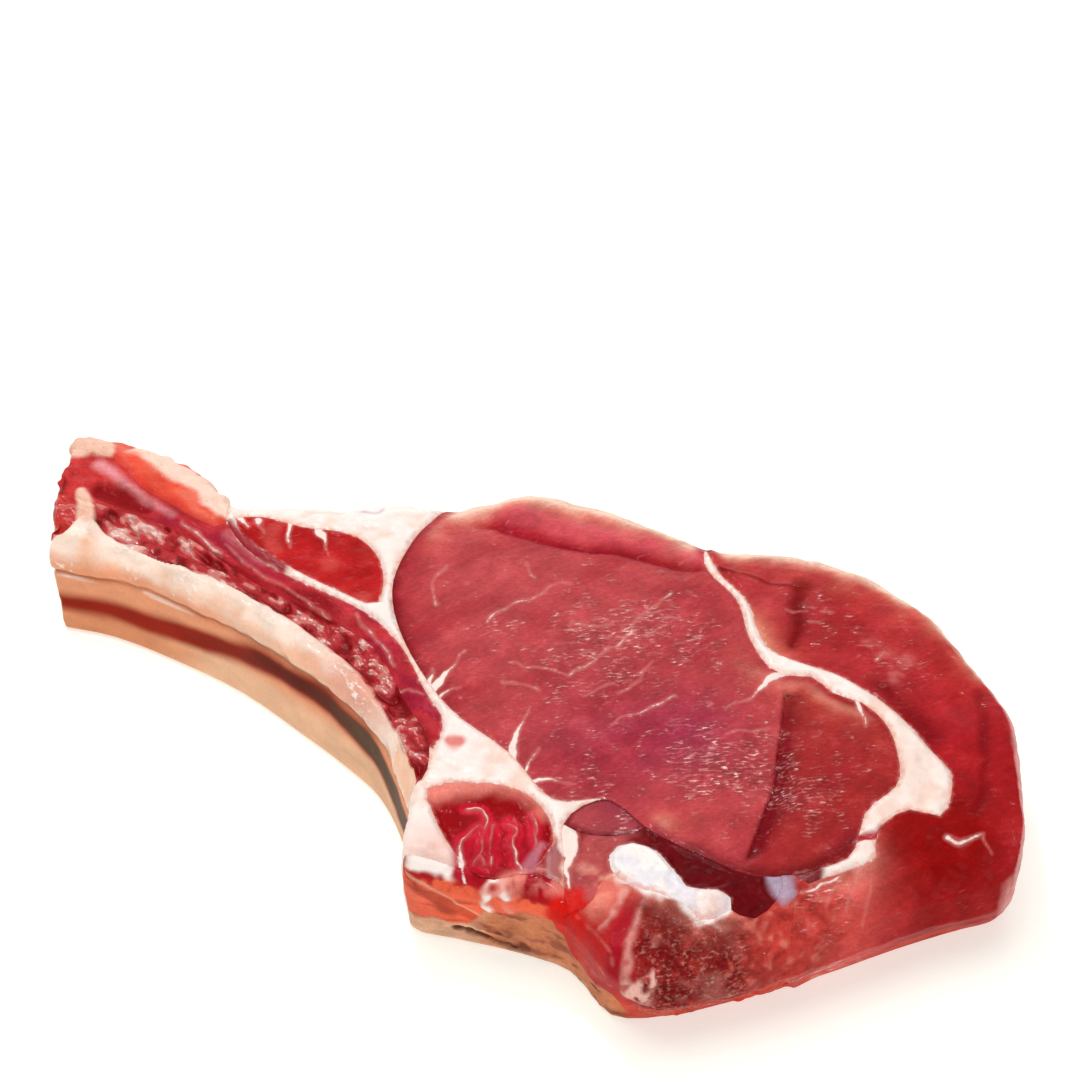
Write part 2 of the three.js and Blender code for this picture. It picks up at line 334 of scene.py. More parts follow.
def from_rim(points, facing):
    """How far each point is in plan from the far rim of its piece."""
    rim = np.flatnonzero((facing[:, 1] > 0.45) & (facing[:, 1] < 0.8) & (points[:, 2] > 12))
    tree = KDTree(len(rim))
    for i in rim:
        tree.insert((points[i, 0], points[i, 1], 0), i)
    tree.balance()
    return np.array([tree.find((x, y, 0))[2] for x, y, _ in points])


def distance(piece, names):
    """How far each point of a piece is from the solids of these nodes, in millimetres."""
    tree = search_tree(names)
    found = [tree.find_nearest(v.co, FAR_ROOM * MM)[3] for v in piece.data.vertices]
    return np.array([FAR_ROOM if far is None else far / MM for far in found])


def surface(piece, name):
    """A piece's points in millimetres, the way each faces, and its distance from the neighbouring solids."""
    flat = np.empty(len(piece.data.vertices) * 3, np.float32)
    piece.data.vertex_normals.foreach_get("vector", flat)
    return places(piece.data), flat.reshape(-1, 3).astype(float), distance(piece, others(name))


def carve(piece, points, facing, room, relief, sunk=1):
    """Moves the surface out by its relief, which fades at seams and underside, and sinks the seams."""
    free = ramp(room, SEAM_FILL, SEAM_FADE) * ramp(points[:, 2], 0.6, 3)
    moved = points + facing * (relief * free)[:, None]
    edge = (1 - ramp(room, 0, SEAM_WIDE)) * ramp(facing[:, 2], 0.3, 0.5) * ramp(points[:, 2], 4, 8)
    moved[:, 2] -= sunk * SEAM_SINK * edge
    put(piece.data, moved)


def paint(colour):
    """A colour written as on a paint chart, in the shader's linear light."""
    shares = np.array([int(colour[i:i + 2], 16) / 255 for i in (0, 2, 4)])
    return (*np.where(shares > 0.04045, ((shares + 0.055) / 1.055) ** 2.4, shares / 12.92), 1)


def plain(points, colour):
    """A coat of one colour for each point."""
    return np.tile(paint(colour)[:3], (len(points), 1))


def over(coat, cover, colour):
    """A coat with another colour laid on it as far as that covers."""
    return coat + (np.array(paint(colour)[:3]) - coat) * np.clip(cover, 0, 1)[:, None]


def hide(coat, points, facing):
    """The outer wall of a piece, under a mottled pink membrane."""
    wall = ramp(np.hypot(facing[:, 0], facing[:, 1]), 0.85, 0.97) * ramp(facing[:, 1], 0.1, 0.4)
    blotch = lumps(points, (9, 9, 6), 201) + 0.5 * lumps(points, 2.5, 202)
    membrane = over(plain(points, HIDE_ROSE), ramp(blotch, -0.5, 0.7), HIDE_PALE)
    return coat + (membrane - coat) * wall[:, None]


def mark(piece, coat, **fields):
    """Keeps the coat and fields of numbers on the piece for its material."""
    count = len(piece.data.vertices)
    layer = piece.data.attributes.new("coat", "FLOAT_COLOR", "POINT")
    layer.data.foreach_set("color", np.column_stack([coat, np.ones(count)]).astype(np.float32).ravel())
    for name, values in fields.items():
        layer = piece.data.attributes.new(name, "FLOAT", "POINT")
        layer.data.foreach_set("value", np.array(np.broadcast_to(values, count), np.float32))


class Wire:
    """A shader socket. Sums on wires add Math nodes."""

    def __init__(self, socket):
        self.socket = socket

    def node(self, kind, settings, sockets, out=0):
        """A further node in the same tree: its settings first, then the values or wires of its sockets."""
        tree = self.socket.id_data
        made = tree.nodes.new(kind)
        for name, value in settings.items():
            setattr(made, name, value)
        for name, value in sockets.items():
            if isinstance(value, Wire):
                tree.links.new(value.socket, made.inputs[name])
            else:
                made.inputs[name].default_value = value
        return Wire(made.outputs[out])

    def math(self, operation, a, b):
        return self.node("ShaderNodeMath", {"operation": operation}, {0: a, 1: b})

    def __add__(self, other):
        return self.math("ADD", self, other)

    def __sub__(self, other):
        return self.math("SUBTRACT", self, other)

    def __rsub__(self, other):
        return self.math("SUBTRACT", other, self)

    def __mul__(self, other):
        return self.math("MULTIPLY", self, other)

    __radd__ = __add__
    __rmul__ = __mul__

    def __abs__(self):
        return self.math("ABSOLUTE", self, 0)

    def most(self, other):
        return self.math("MAXIMUM", self, other)

    def ramp(self, low, high):
        """Rises smoothly from 0 to 1 between low and high."""
        return self.node("ShaderNodeMapRange", {"interpolation_type": "SMOOTHSTEP"},
                         {"Value": self, "From Min": low, "From Max": high})

    def between(self, low, high):
        """The colour this share of the way from one colour to another."""
        return self.node("ShaderNodeMix", {"data_type": "RGBA"}, {0: self, 6: low, 7: high}, 2)

    def field(self, name, out="Fac"):
        """A field kept on the piece."""
        return self.node("ShaderNodeAttribute", {"attribute_name": name}, {}, out)

    def shaded(self, share):
        """This colour made lighter or darker."""
        return self.node("ShaderNodeVectorMath", {"operation": "SCALE"}, {"Vector": self, "Scale": share})

    def noise(self, size, stretch=(1, 1, 1), turn=0.0, detail=2.0):
        """Random grain from 0 to 1, of this size in millimetres, drawn out along a turned grain."""
        at = self.node("ShaderNodeMapping", {"vector_type": "TEXTURE"},
                       {"Vector": self, "Rotation": (0, 0, turn), "Scale": stretch})
        return at.node("ShaderNodeTexNoise", {}, {"Vector": at, "Scale": 1 / size, "Detail": detail})

    def into(self, socket):
        self.socket.id_data.links.new(self.socket, socket)


def fresh(name, constants):
    """A new material whose shader has these constants, with the piece's own coordinates in millimetres."""
    material = bpy.data.materials.new(name)
    material.use_nodes = True
    tree = material.node_tree
    shader = tree.nodes["Principled BSDF"]
    for socket, value in constants.items():
        shader.inputs[socket].default_value = value
    place = Wire(tree.nodes.new("ShaderNodeTexCoord").outputs["Object"])
    place = place.node("ShaderNodeVectorMath", {"operation": "SCALE"}, {"Vector": place, "Scale": 1 / MM})
    return material, shader.inputs, place


def finish(sockets, colour, roughness, height, wet):
    """Joins a finish to its shader: colour, roughness, a fine relief in millimetres and a wet coat."""
    colour.into(sockets["Base Color"])
    wet.into(sockets["Coat Weight"])
    roughness.into(sockets["Roughness"])
    bump = height.node("ShaderNodeBump", {}, {"Strength": 1.0, "Distance": MM, "Height": height})
    bump.into(sockets["Normal"])


JUICE = {"Coat Roughness": 0.14, "Coat IOR": 1.4}
WET_LEAN = JUICE | {
    "Specular IOR Level": 0.05,
    "Subsurface Weight": 0.06,
    "Subsurface Radius": (1.0, 0.2, 0.15),
    "Subsurface Scale": 0.8 * MM,
}
THREAD, PRONG, BLOOM, GLINT_EDGE, GLINT = "d6827c", "fbe6dc", "d87c7c", "d98a84", "fbdcd2"


def lean(name, turn=0.0, contrast=1.0, ragged=1.6, bloomed=0.12):
    """Raw lean on its coat of reds: mottled, with threads of fat, painted shade in its cuts, and clusters of
    wet glints.
    """
    material, sockets, place = fresh(name, WET_LEAN)
    fibre = place.noise(0.6, (1.7, 1, 1), turn, 3.0)
    grit = place.noise(0.3, detail=1)
    patch = place.noise(6, detail=5)
    wobble = place.noise(1.6) - 0.5
    cluster = (place.noise(3.2, detail=3) + place.field("wet") * 0.5).ramp(0.8, 1.1)
    spark = place.noise(0.5, (3.2, 1, 1), turn + 0.1)
    bright = place.noise(1.7, detail=3).ramp(0.42, 0.64)
    streak = place.noise(1.1, (5, 1, 1), turn + 0.7, 4.0)
    dash = place.noise(0.6, (4.5, 1, 1), turn + 0.45, 1.0).ramp(0.66, 0.74) * place.noise(7).ramp(0.48, 0.62)
    mottle = (patch - 0.5) * 0.9 + (fibre - 0.5) * 0.5 + (grit - 0.5) * 0.35
    mottle = mottle + (streak - 0.5) * 0.4 + (spark - 0.5) * cluster * 1.4
    colour = place.field("coat", "Color").shaded(1 + mottle * contrast)
    bloom = (patch * 0.7 + fibre * 0.3).ramp(0.52, 0.72) * bloomed + dash * bloomed * 2.5
    colour = bloom.between(colour, paint(BLOOM))
    # The cut field paints near-black shade into crevices and notches.
    colour = (place.field("cut") + wobble * 0.6).ramp(0, 0.5).between(colour, paint(CREVICE_SHADE))
    fat = place.field("fat") + wobble * 0.6
    fringe = 0.2 - place.field("white") + wobble * ragged
    pale = fat.most(fringe)
    colour = (pale.ramp(-0.6, 0.2) * 0.5).between(colour, paint(THREAD))
    colour = pale.ramp(0.02, 0.35).between(colour, paint(PRONG))
    colour = (spark.ramp(0.52, 0.62) * cluster * 0.45).between(colour, paint(GLINT_EDGE))
    colour = (spark.ramp(0.6, 0.68) * cluster * (0.15 + bright * 0.8)).between(colour, paint(GLINT))
    height = fibre * 0.14 + grit * 0.05 + spark * cluster * 0.5
    finish(sockets, colour, 0.55 - cluster * 0.35, height, 0.1 + cluster * 0.6)
    return material


def lay(piece, name, material):
    """Puts the material on a piece, which stands for its node on the chop."""
    piece.data.materials.clear()
    piece.data.materials.append(material)
    piece.data.shade_smooth()
    piece.data.set_sharp_from_angle(angle=SEAM_ANGLE)
    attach(piece, "root")
    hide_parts(name)


eye = cut_out("eye_muscle")
points, facing, room = surface(eye, "eye_muscle")
x, y, z = points.T
bent = wavy(points, 0.9, 5, 5)
beside = strand(points, EYE_FOLD, 0, 0, sided=True)
along = ramp(y, -51, -44) * ramp(-y, 4, 7)
fold = fading(beside, 0.35, 2.4) * along
notch = strand(bent, EYE_NOTCH, 0.55, 0.1)
past = strand(points, EYE_CREASE, 0, 0, sided=True)
creased = ramp(x, -14, -4) * ramp(y, 24, 28)
crease = fading(past, 1.3, 3.0) * creased
lip = strand(points, EYE_LIP, 2.6, 2.2)
threads = strands(wavy(points, 0.7, 3, 7), EYE_THREADS)
prongs = strands(wavy(points, 0.7, 2.5, 9), EYE_PRONGS)
wet = 0.4 + glows(points, EYE_GLINTS) - 0.6 * ramp(lip, -3, -0.5)
grain = lumps(turned(points, 20), (2.6, 1.1, 1.1), 3)
relief = 0.35 * lumps(points, 11, 1) + 0.18 * lumps(points, 4, 2)
relief += (0.1 + 0.15 * ramp(wet, 0.5, 1.0)) * grain + 0.5 * ramp(lip, -2, 2) - 1.1 * fold
relief -= 0.5 * np.exp(-np.abs(past) / 0.8) * creased + 0.5 * ramp(notch, -0.6, 0.5)
relief += 0.12 * ramp(np.maximum(threads, prongs), -0.3, 0.4)
carve(eye, points, facing, room, relief)
white = distance(eye, WHITE_PIECES)
coat = plain(points, EYE_RED)
# The lighter rose over the upper left of the eye is a painted sheen.
coat = over(coat, 0.8 * glow(points, (-2, 22), 30), EYE_ROSE_SHEEN)
coat = over(coat, 0.8 * glow(points, (34, -16), 10) + 0.6 * glow(points, (18, -21), 14), EYE_PLUM)
coat = over(coat, 0.9 * ramp(beside, -1, 3) * ramp(-y, 0, 8), EYE_BROWN)
coat = over(coat, 0.4 * ramp(lumps(turned(points, 35), (13, 6, 8), 151), 0.1, 0.7), EYE_SHADE)
# Painted shade along the fat on the eye's left side: a broad crimson band and a darker edge next to the
# seam.
left = glow(points, (-23, 20), 25)
coat = over(coat, 0.8 * np.exp(-white / (4.5 + 2.0 * lumps(points, 4, 8))) * left, EYE_CRIMSON_SHADE)
coat = over(coat, 0.9 * np.exp(-((white / (1.3 + 0.6 * lumps(points, 3, 8))) ** 2)) * left, EYE_DARK_SHADE)
# The raised lip beyond the crease is painted a lighter rose, a painted sheen.
coat = over(coat, 0.9 * ramp(lip, -2, 1), EYE_LIP_SHEEN)
# Painted shade: crimson below the crease, and deep crimson in the crease and down the fold.
coat = over(coat, 0.95 * ramp(crease * (1 + 0.3 * lumps(points, 5, 4)), 0.05, 0.85), EYE_CRIMSON_SHADE)
coat = over(coat, 0.5 * ramp(crease, 0.6, 0.95), EYE_DEEP_SHADE)
coat = over(coat, 0.95 * ramp(fold, 0.05, 0.6), EYE_DEEP_SHADE)
# A painted shadow runs along the eye's lower edge.
coat = over(coat, 0.7 * stroke(bent, EYE_LOWER_EDGE, 1.8, 1.8, 1.6), EYE_DARK_SHADE)
# The far rim: a salmon band and a cream edge, partly a thin film of fat on the rim and partly a painted
# backlight glow.
rim = from_rim(points, facing) * (1 + 0.4 * lumps(points, 4, 6))
free = ramp(room, 1, 4)
coat = over(coat, 0.85 * np.exp(-rim / 2.6) * free, RIM_SALMON_FILM_AND_BACKLIGHT)
coat = over(coat, 0.9 * np.exp(-((rim / 1.6) ** 1.3)) * free, RIM_CREAM_FILM_AND_BACKLIGHT)
coat = hide(coat, points, facing)
# Its cut field paints near-black shade into the lower edge and the notch.
mark(eye, coat, wet=wet, white=white + 0.9 * left, fat=np.maximum(threads, prongs),
     cut=np.maximum(strand(bent, EYE_LOWER_EDGE, 0.3, 0.25), notch))
lay(eye, "eye_muscle", lean("eye lean"))

# Cap muscle: the flat muscle that wraps the eye on its outer side, deep red lean, darker towards the back.
# The cut face has a crease and a ridge, and a pink sheet of membrane covers its end.
CAP_CREASE = [(58.5, 23.5), (57, 19), (56.5, 14), (55.5, 7.5)]
CAP_RIDGE = [(41, 28.5), (44.5, 26.5), (48.5, 25), (52, 23.5), (57.5, 23)]
CAP_LIP = [(91, -6), (91.5, -11.5), (91, -18.5), (90, -29.5), (88, -37)]
CAP_STREAKS = [
    ([(81, -43), (83.5, -44), (86, -43), (88, -42)], 0.45, 0.3),
    ([(88, -42), (89.5, -45)], 0.25, 0.1),
    ([(61.5, 16.5), (64, 16.5)], 0.2, 0.15),
    ([(59.5, 13.5), (61, 13.5)], 0.2, 0.1),
    ([(54.5, 17), (58.5, 16)], 0.15, 0.15),
    ([(68.5, 7), (70.5, 7)], 0.15, 0.15),
    ([(72, 3.5), (73.5, 5.5)], 0.35, 0.1),
    ([(51.5, -55.2), (54, -55.4), (57, -54.2), (60, -52.4)], 0.2, 0.35),
    ([(60.6, -52), (59.5, -54.5), (57.6, -58)], 0.1, 0.0),
    ([(64, -50.5), (63, -54), (61.4, -58.6)], 0.12, 0.0),
    ([(66.5, -52.3), (65.8, -55), (64.5, -59.4)], 0.08, 0.0),
]
CAP_HOLLOW = [(53, -53), (58, -52)]
CAP_GLINTS = [((62, 15), 10, 0.35), ((76, 2), 10, 0.4), ((56, -56), 9, 0.5), ((79, -42), 10, -0.3)]
CAP_LIE = -50
CAP_SPOTS = [(71, 8), (73.5, 5), (77.5, 3), (75.5, -1.5)]
CAP_SPOT = "d8716c"
CAP_DEEP = [(72, -4), (77, -11), (80, -17)]
CAP_RED, CAP_ROSE, CAP_BACK, CAP_LOW = "b4282b", "bc3c40", "b81e28", "920302"
CAP_PINK, CAP_DARK_AND_SHADE, JOIN_DARK, JOIN_PINK = "e05650", "7a0209", "8e1c18", "dc7c6c"
CAP_ORANGE, CAP_FILM, CAP_FOOT, CAP_JOIN, CAP_PALE = "f0a884", "f0a4a0", "d6402a", "c03c34", "f2a894"


def grown_together(coat, points, cover):
    """Where the cap and the spine meet: brown-red with dark pits and pink lumps."""
    pits = 0.6 * lumps(points, 2.2, 111) + 0.7 * lumps(points, 1.1, 112)
    coat = over(coat, cover, CAP_JOIN)
    coat = over(coat, 0.6 * cover * ramp(-pits, 0.1, 0.7), JOIN_DARK)
    return over(coat, 0.6 * cover * ramp(pits, 0.2, 0.8), JOIN_PINK)


cap = cut_out("cap_muscle")
points, facing, room = surface(cap, "cap_muscle")
x, y, z = points.T
bent = wavy(points, 0.9, 5, 15)
along = turned(points, CAP_LIE)
crease = strand(bent, CAP_CREASE, 1.6, 0.8)
ridge = strand(bent, CAP_RIDGE, 0.5, 0.3)
lip = strand(bent, CAP_LIP, 0.4, 0.3)
streaks = strands(wavy(points, 0.6, 2.5, 17), CAP_STREAKS)
relief = 0.45 * lumps(points, 10, 11) + 0.2 * lumps(points, 4, 12)
relief += 0.14 * lumps(points, (2.6, 1.1, 1.1), 13)
relief += 0.35 * ramp(ridge, -1, 0.4) - 0.5 * ramp(crease, -1.5, 1.0) - 0.25 * ramp(lip, -1.2, 0.3)
carve(cap, points, facing, room, relief, 1 - glow(points, (51, -57), 9))
end = ramp(facing[:, 0], 0.45, 0.8) * ramp(x, 84, 90)
white = distance(cap, WHITE_PIECES)
coat = plain(points, CAP_RED)
coat = over(coat, 0.9 * glow(points, (54, 18), 18), CAP_ROSE)
coat = over(coat, 0.9 * glow(points, (90, -20), 20), CAP_BACK)
coat = over(coat, 1.3 * glow(points, (79, -42), 15), CAP_LOW)
coat = over(coat, 0.45 * ramp(lumps(along, (15, 6, 8), 152), 0.1, 0.7), CAP_LOW)
coat = over(coat, 0.4 * ramp(lumps(along, (11, 5, 8), 153), 0.1, 0.7) * ramp(y, -25, -5), CAP_ROSE)
coat = over(coat, 0.8 * stroke(bent, CAP_DEEP, 2.5, 3.5, 3), CAP_DARK_AND_SHADE)
for spot in CAP_SPOTS:
    coat = over(coat, 0.6 * glow(wavy(points, 1.4, 1.8, 19), spot, 1.5), CAP_SPOT)
coat = over(coat, 1.2 * glow(bent, (59, -56), 8), CAP_PINK)
coat = over(coat, 0.9 * np.exp(-white / 3.5) * glow(points, (60, -51), 8), CAP_PALE)
coat = over(coat, 0.9 * np.exp(-white / 1.6) * glow(points, (51, 10), 6), CAP_ORANGE)
# Painted shade: dark along the crease and the lip, and in the hollow by the eye's lower edge.
coat = over(coat, 0.9 * ramp(crease, -2.0, 0.9), CAP_DARK_AND_SHADE)
coat = over(coat, 0.8 * ramp(ridge, -0.6, 0.3), CAP_DARK_AND_SHADE)
coat = over(coat, 0.6 * ramp(lip, -1.8, 0.4), CAP_DARK_AND_SHADE)
coat = over(coat, stroke(bent, CAP_HOLLOW, 1.5, 1.5, 1), CAP_DARK_AND_SHADE)
join = ramp(-x + 5 * lumps(points, 3, 18), -65, -54) * ramp(-y, 38, 46)
coat = grown_together(coat, points, join)
coat = over(coat, 0.7 * ramp(-z, -9, -3), CAP_FOOT)
coat = over(coat, 0.85 * end, CAP_FILM)
# The far rim: a salmon band and a cream edge, partly a thin film of fat on the rim and partly a painted
# backlight glow.
rim = from_rim(points, facing) * (1 + 0.4 * lumps(points, 4, 16))
free = ramp(room, 1, 4) * ramp(y, -20, -5)
coat = over(coat, 0.85 * np.exp(-rim / 2.4) * free, RIM_SALMON_FILM_AND_BACKLIGHT)
coat = over(coat, 0.9 * np.exp(-((rim / 1.5) ** 1.4)) * free, RIM_CREAM_FILM_AND_BACKLIGHT)
coat = hide(coat, points, facing)
wet = 0.35 + glows(points, CAP_GLINTS) + 0.15 * stroke(points, CAP_LIP, 1.5, 1, 2)
mark(cap, coat, wet=wet, white=white, fat=streaks, cut=NONE)
lay(cap, "cap_muscle", lean("cap lean", bloomed=0.05))

# Rib bone: the long curved rib, sawn at its tip and scraped. Its upper strip is under a glossy membrane,
# and its inner side carries a red-brown band where the blood shows through, above a tan lower edge.
RIB_PLACES = [-98, -88, -77.5, -65, -48, -37.5, -29, -22]
RIB_GROOVE_HEIGHT = [16, 15.5, 16.5, 16, 17.5, 18, 17, 15]
RIB_BAND_HEIGHT = [8, 8.2, 8.6, 10, 14, 14.8, 12.5, 8]
RIB_BAND_HALF = [1.3, 2.2, 2.5, 2.5, 2.2, 2.5, 3.0, 3.2]
RIB_UPPER_EDGE = [
    (-97, 40), (-93.4, 41.6), (-90, 46.2), (-84.9, 40.5), (-78.3, 35.5), (-71.6, 32.1), (-65.2, 29.2),
    (-56.6, 24.2), (-48, 17.6), (-39.6, 11.1), (-33.3, 4.3), (-28.6, -2.5), (-24, -14),
]
RIB_CREAM, RIB_PEACH, RIB_ORANGE, RIB_TAN, RIB_LOW = "fde2d0", "f6be9e", "f09260", "eea078", "f0bc98"
RIB_BAND, RIB_BROWN, RIB_OLIVE, RIB_TIP_LOW = "981e02", "5c1602", "5d4430", "d4885e"
RIB_LINE, RIB_FILM, RIB_PINK = "8a4424", "fde6da", "e8957c"
TIP_POST = [(-92, 51.5), (-91, 49), (-90.3, 45.5)]
KNOB_PALE, TIP_RED = "f6c6ae", "c83430"
SHRED_LIE = -40
SHRED_RED, SHRED_DARK, SHRED_PINK, SHRED_PALE = "ba3034", "86080e", "d48278", "eebcb0"


def swelling(points):
    """The height of the torn lean's lumps, drawn out along the rib."""
    along = turned(points, SHRED_LIE)
    return lumps(along, (4, 2.4, 3), 31) + 0.7 * lumps(along, (1.9, 1.2, 1.5), 32)


def torn_coat(points, swell):
    """Red lean with dark hollows between clear pink lumps."""
    coat = over(plain(points, SHRED_RED), ramp(-swell, 0.1, 0.7), SHRED_DARK)
    coat = over(coat, 0.8 * ramp(swell, 0.1, 0.25), SHRED_PINK)
    return over(coat, 0.85 * ramp(swell, 0.5, 0.75), SHRED_PALE)


rib = cut_out("rib_bone")
points, facing, room = surface(rib, "rib_bone")
x, y, z = points.T
below = np.interp(x, RIB_PLACES, RIB_GROOVE_HEIGHT) - z
soft = lumps(turned(points, -35), (9, 5, 4), 23)
side = ramp(below, -0.6, 0.6)
band = np.interp(x, RIB_PLACES, RIB_BAND_HALF) + 0.9 * soft
band = band - np.abs(z - np.interp(x, RIB_PLACES, RIB_BAND_HEIGHT))
bumps = 0.5 * lumps(points, 6, 21) + 0.35 * lumps(points, 2.6, 22)
inwards = -strand(wavy(points, 0.5, 3, 24), RIB_UPPER_EDGE, 0, 0, sided=True)
torn = ramp(-inwards, -0.2, 0.3) * ramp(z, 17, 20)
swell = swelling(points)
relief = bumps * (1 - 0.75 * side) + 0.5 * ramp(-below, 0, 3) * ramp(below, -7, -3)
relief -= 0.6 * ramp(0.5 - np.abs(below), -0.7, 0.4)
relief = relief * (1 - torn) + (0.8 * swell - 1.2) * torn
carve(rib, points, facing, room, relief)
low = ramp(-inwards + 2.0 * soft + 1.5 * bumps, -5.5, -2.5)
coat = over(plain(points, RIB_PEACH), low, RIB_CREAM)
coat = over(coat, 0.85 * ramp(below + 1.5 * soft, -5.5, -1.5) * ramp(-x + 8 * soft, 50, 70), RIB_ORANGE)
coat = over(coat, 0.8 * glow(points, (-31, -2), 10), RIB_PINK)
coat = over(coat, side, RIB_TAN)
coat = over(coat, side * ramp(below + soft, 6, 10) * ramp(x + 6 * soft, -84, -62), RIB_LOW)
coat = over(coat, 0.7 * side * ramp(below + soft, 6, 10) * ramp(-x - 6 * soft, 62, 84), RIB_TIP_LOW)
coat = over(coat, side * ramp(band, -1.9, 1.0), RIB_BAND)
inner = ramp(x + 8 * soft, -72, -40)
coat = over(coat, side * inner * ramp(band, -0.4, 1.6), RIB_BROWN)
coat = over(coat, side * ramp(x + 5 * soft, -42, -28) * ramp(band, -0.8, 1.4), RIB_OLIVE)
coat = over(coat, 0.7 * ramp(0.25 - np.abs(below) + 0.3 * bumps, -0.3, 0.3), RIB_LINE)
coat = over(coat, 0.8 * ramp(0.1 - np.abs(below - 0.8) + 0.5 * soft, 0, 0.3) * ramp(-x, 60, 74), RIB_FILM)
coat = coat + (torn_coat(points, swell) - coat) * torn[:, None]
coat = over(coat, torn * ramp(-x + swell, 90.5, 92.5), TIP_RED)
coat = over(coat, stroke(points, TIP_POST, 1.0, 1.8, 0.6), KNOB_PALE)
shine = ramp(1.8 - np.abs(inwards - 2.6 + soft), 0, 1.2) * ramp(bumps, -0.3, 0.2) * (1 - side)
sawn = ramp(-facing[:, 0], 0.6, 0.9) * ramp(-x, 90, 93) * ramp(-z, -19, -17)
coat = over(coat, sawn, KNOB_PALE)
coat = over(coat, sawn * ramp(4 + 2 * soft - np.hypot(y - 43, z - 10), -1, 2), SHRED_RED)
mark(rib, coat, side=side, wet=np.maximum(shine * (1 - torn), torn * ramp(swell, 0.3, 0.8)))


def bone_side(name):
    """Bone under membrane: a coat of creams and browns, glossy with wet glints on its lumps."""
    constants = JUICE | {
        "Specular IOR Level": 0.08,
        "Subsurface Weight": 0.06,
        "Subsurface Radius": (1.0, 0.5, 0.35),
        "Subsurface Scale": 1.2 * MM,
    }
    material, sockets, place = fresh(name, constants)
    side = place.field("side")
    cloud = place.noise(4, (2, 2, 1), detail=4)
    fine = place.noise(0.7, detail=3)
    spark = place.noise(0.9, (1.6, 1, 1), -0.6)
    colour = place.field("coat", "Color").shaded(1 + (cloud - 0.5) * 0.5 + (fine - 0.5) * 0.2)
    wet = place.field("wet") * place.noise(3.5).ramp(0.4, 0.55)
    colour = (spark.ramp(0.54, 0.64) * wet * 0.9).between(colour, paint(BONE_GLINT))
    height = fine * 0.1 + cloud * 0.25 + spark * wet * 0.4
    finish(sockets, colour, 0.36 - wet * 0.16 + side * 0.2, height, 0.6 - side * 0.55)
    return material


BONE_GLINT = "fff6ec"
lay(rib, "rib_bone", bone_side("rib bone"))

# Intercostal muscle: the thin layer between two ribs, torn when the meat was pulled from the bone,
# so that wet lumps and shreds of clear pink membrane stand on dark red lean.
SHRED_HOLLOW = [(-65.5, 36), (-61, 31.5)]
intercostal = finer(cut_out("intercostal_muscle"))
points, facing, room = surface(intercostal, "intercostal_muscle")
x, y, z = points.T
swell = swelling(points) - 0.8 * stroke(points, SHRED_HOLLOW, 1.0, 0.8, 1) + 0.3 * glow(points, (-82, 46), 9)
carve(intercostal, points, facing, room, 0.8 * swell - 0.3)
coat = torn_coat(points, swell - 0.4 * ramp(x, -54, -44))
coat = over(coat, ramp(-x + swell, 90.5, 92.5), TIP_RED)
coat = over(coat, stroke(points, TIP_POST, 1.0, 1.8, 0.6), KNOB_PALE)
mark(intercostal, coat, wet=ramp(swell, 0.2, 0.7))


def torn_lean(name):
    """Torn lean: its coat with a fine grain, and wet glints on the lumps."""
    material, sockets, place = fresh(name, WET_LEAN | {"Specular IOR Level": 0.1})
    fine = place.noise(0.8, (2.2, 1, 1), np.radians(SHRED_LIE), 3.0)
    spark = place.noise(0.6, (2, 1, 1), np.radians(SHRED_LIE))
    wet = place.field("wet")
    colour = place.field("coat", "Color").shaded(1 + (fine - 0.5) * 1.2)
    colour = (spark.ramp(0.56, 0.63) * wet * 0.8).between(colour, paint(GLINT))
    finish(sockets, colour, 0.4 - wet * 0.15, fine * 0.3 + spark * wet * 0.3, 0.2 + wet * 0.6)
    return material


lay(intercostal, "intercostal_muscle", torn_lean("torn lean"))

# Skirt muscle: a thin salmon strip of belly muscle on the outer side of the rib's tip, edged with pale fat
# and ending in a pale knob at the saw cut.
SKIRT_FAT = [(-82, 66), (-77, 62.5), (-71.7, 58.5), (-65, 52.5), (-60.4, 47)]
TIP_KNOB = [(-94, 66), (-91, 67.5), (-88.5, 66)]
SKIRT_SALMON, SKIRT_PINK, SKIRT_RED, SKIRT_PALE = "e84e36", "f0725a", "d0362e", "fcd6c2"
skirt = cut_out("skirt_muscle")
points, facing, room = surface(skirt, "skirt_muscle")
bent = wavy(points, 1.2, 3.5, 45)
edge = strand(bent, SKIRT_FAT, 1.2, 3.6)
knob = strand(bent, TIP_KNOB, 3.2, 3.0)
relief = 0.5 * lumps(points, 4, 41) + 0.35 * lumps(points, 1.8, 42) + 0.6 * ramp(knob, -2, 2)
relief += ramp(edge, -1, 2) * (0.4 + 0.9 * lumps(points, 3, 43))
carve(skirt, points, facing, room, relief)
strips = lumps(turned(points, SHRED_LIE), (7, 2.5, 3), 44)
coat = over(plain(points, SKIRT_SALMON), ramp(strips, -0.3, 0.5), SKIRT_PINK)
coat = over(coat, 0.8 * (1 - ramp(room, 0.3, 2.5)), SKIRT_RED)
coat = over(coat, ramp(edge, -0.9, 0.9), SKIRT_PALE)
coat = over(coat, ramp(knob, -0.8, 1.0), KNOB_PALE)
coat = hide(coat, points, facing)
mark(skirt, coat, wet=0.15, white=FAR_ROOM, fat=NONE, cut=NONE)
lay(skirt, "skirt_muscle", lean("skirt lean", -0.7, 0.6))

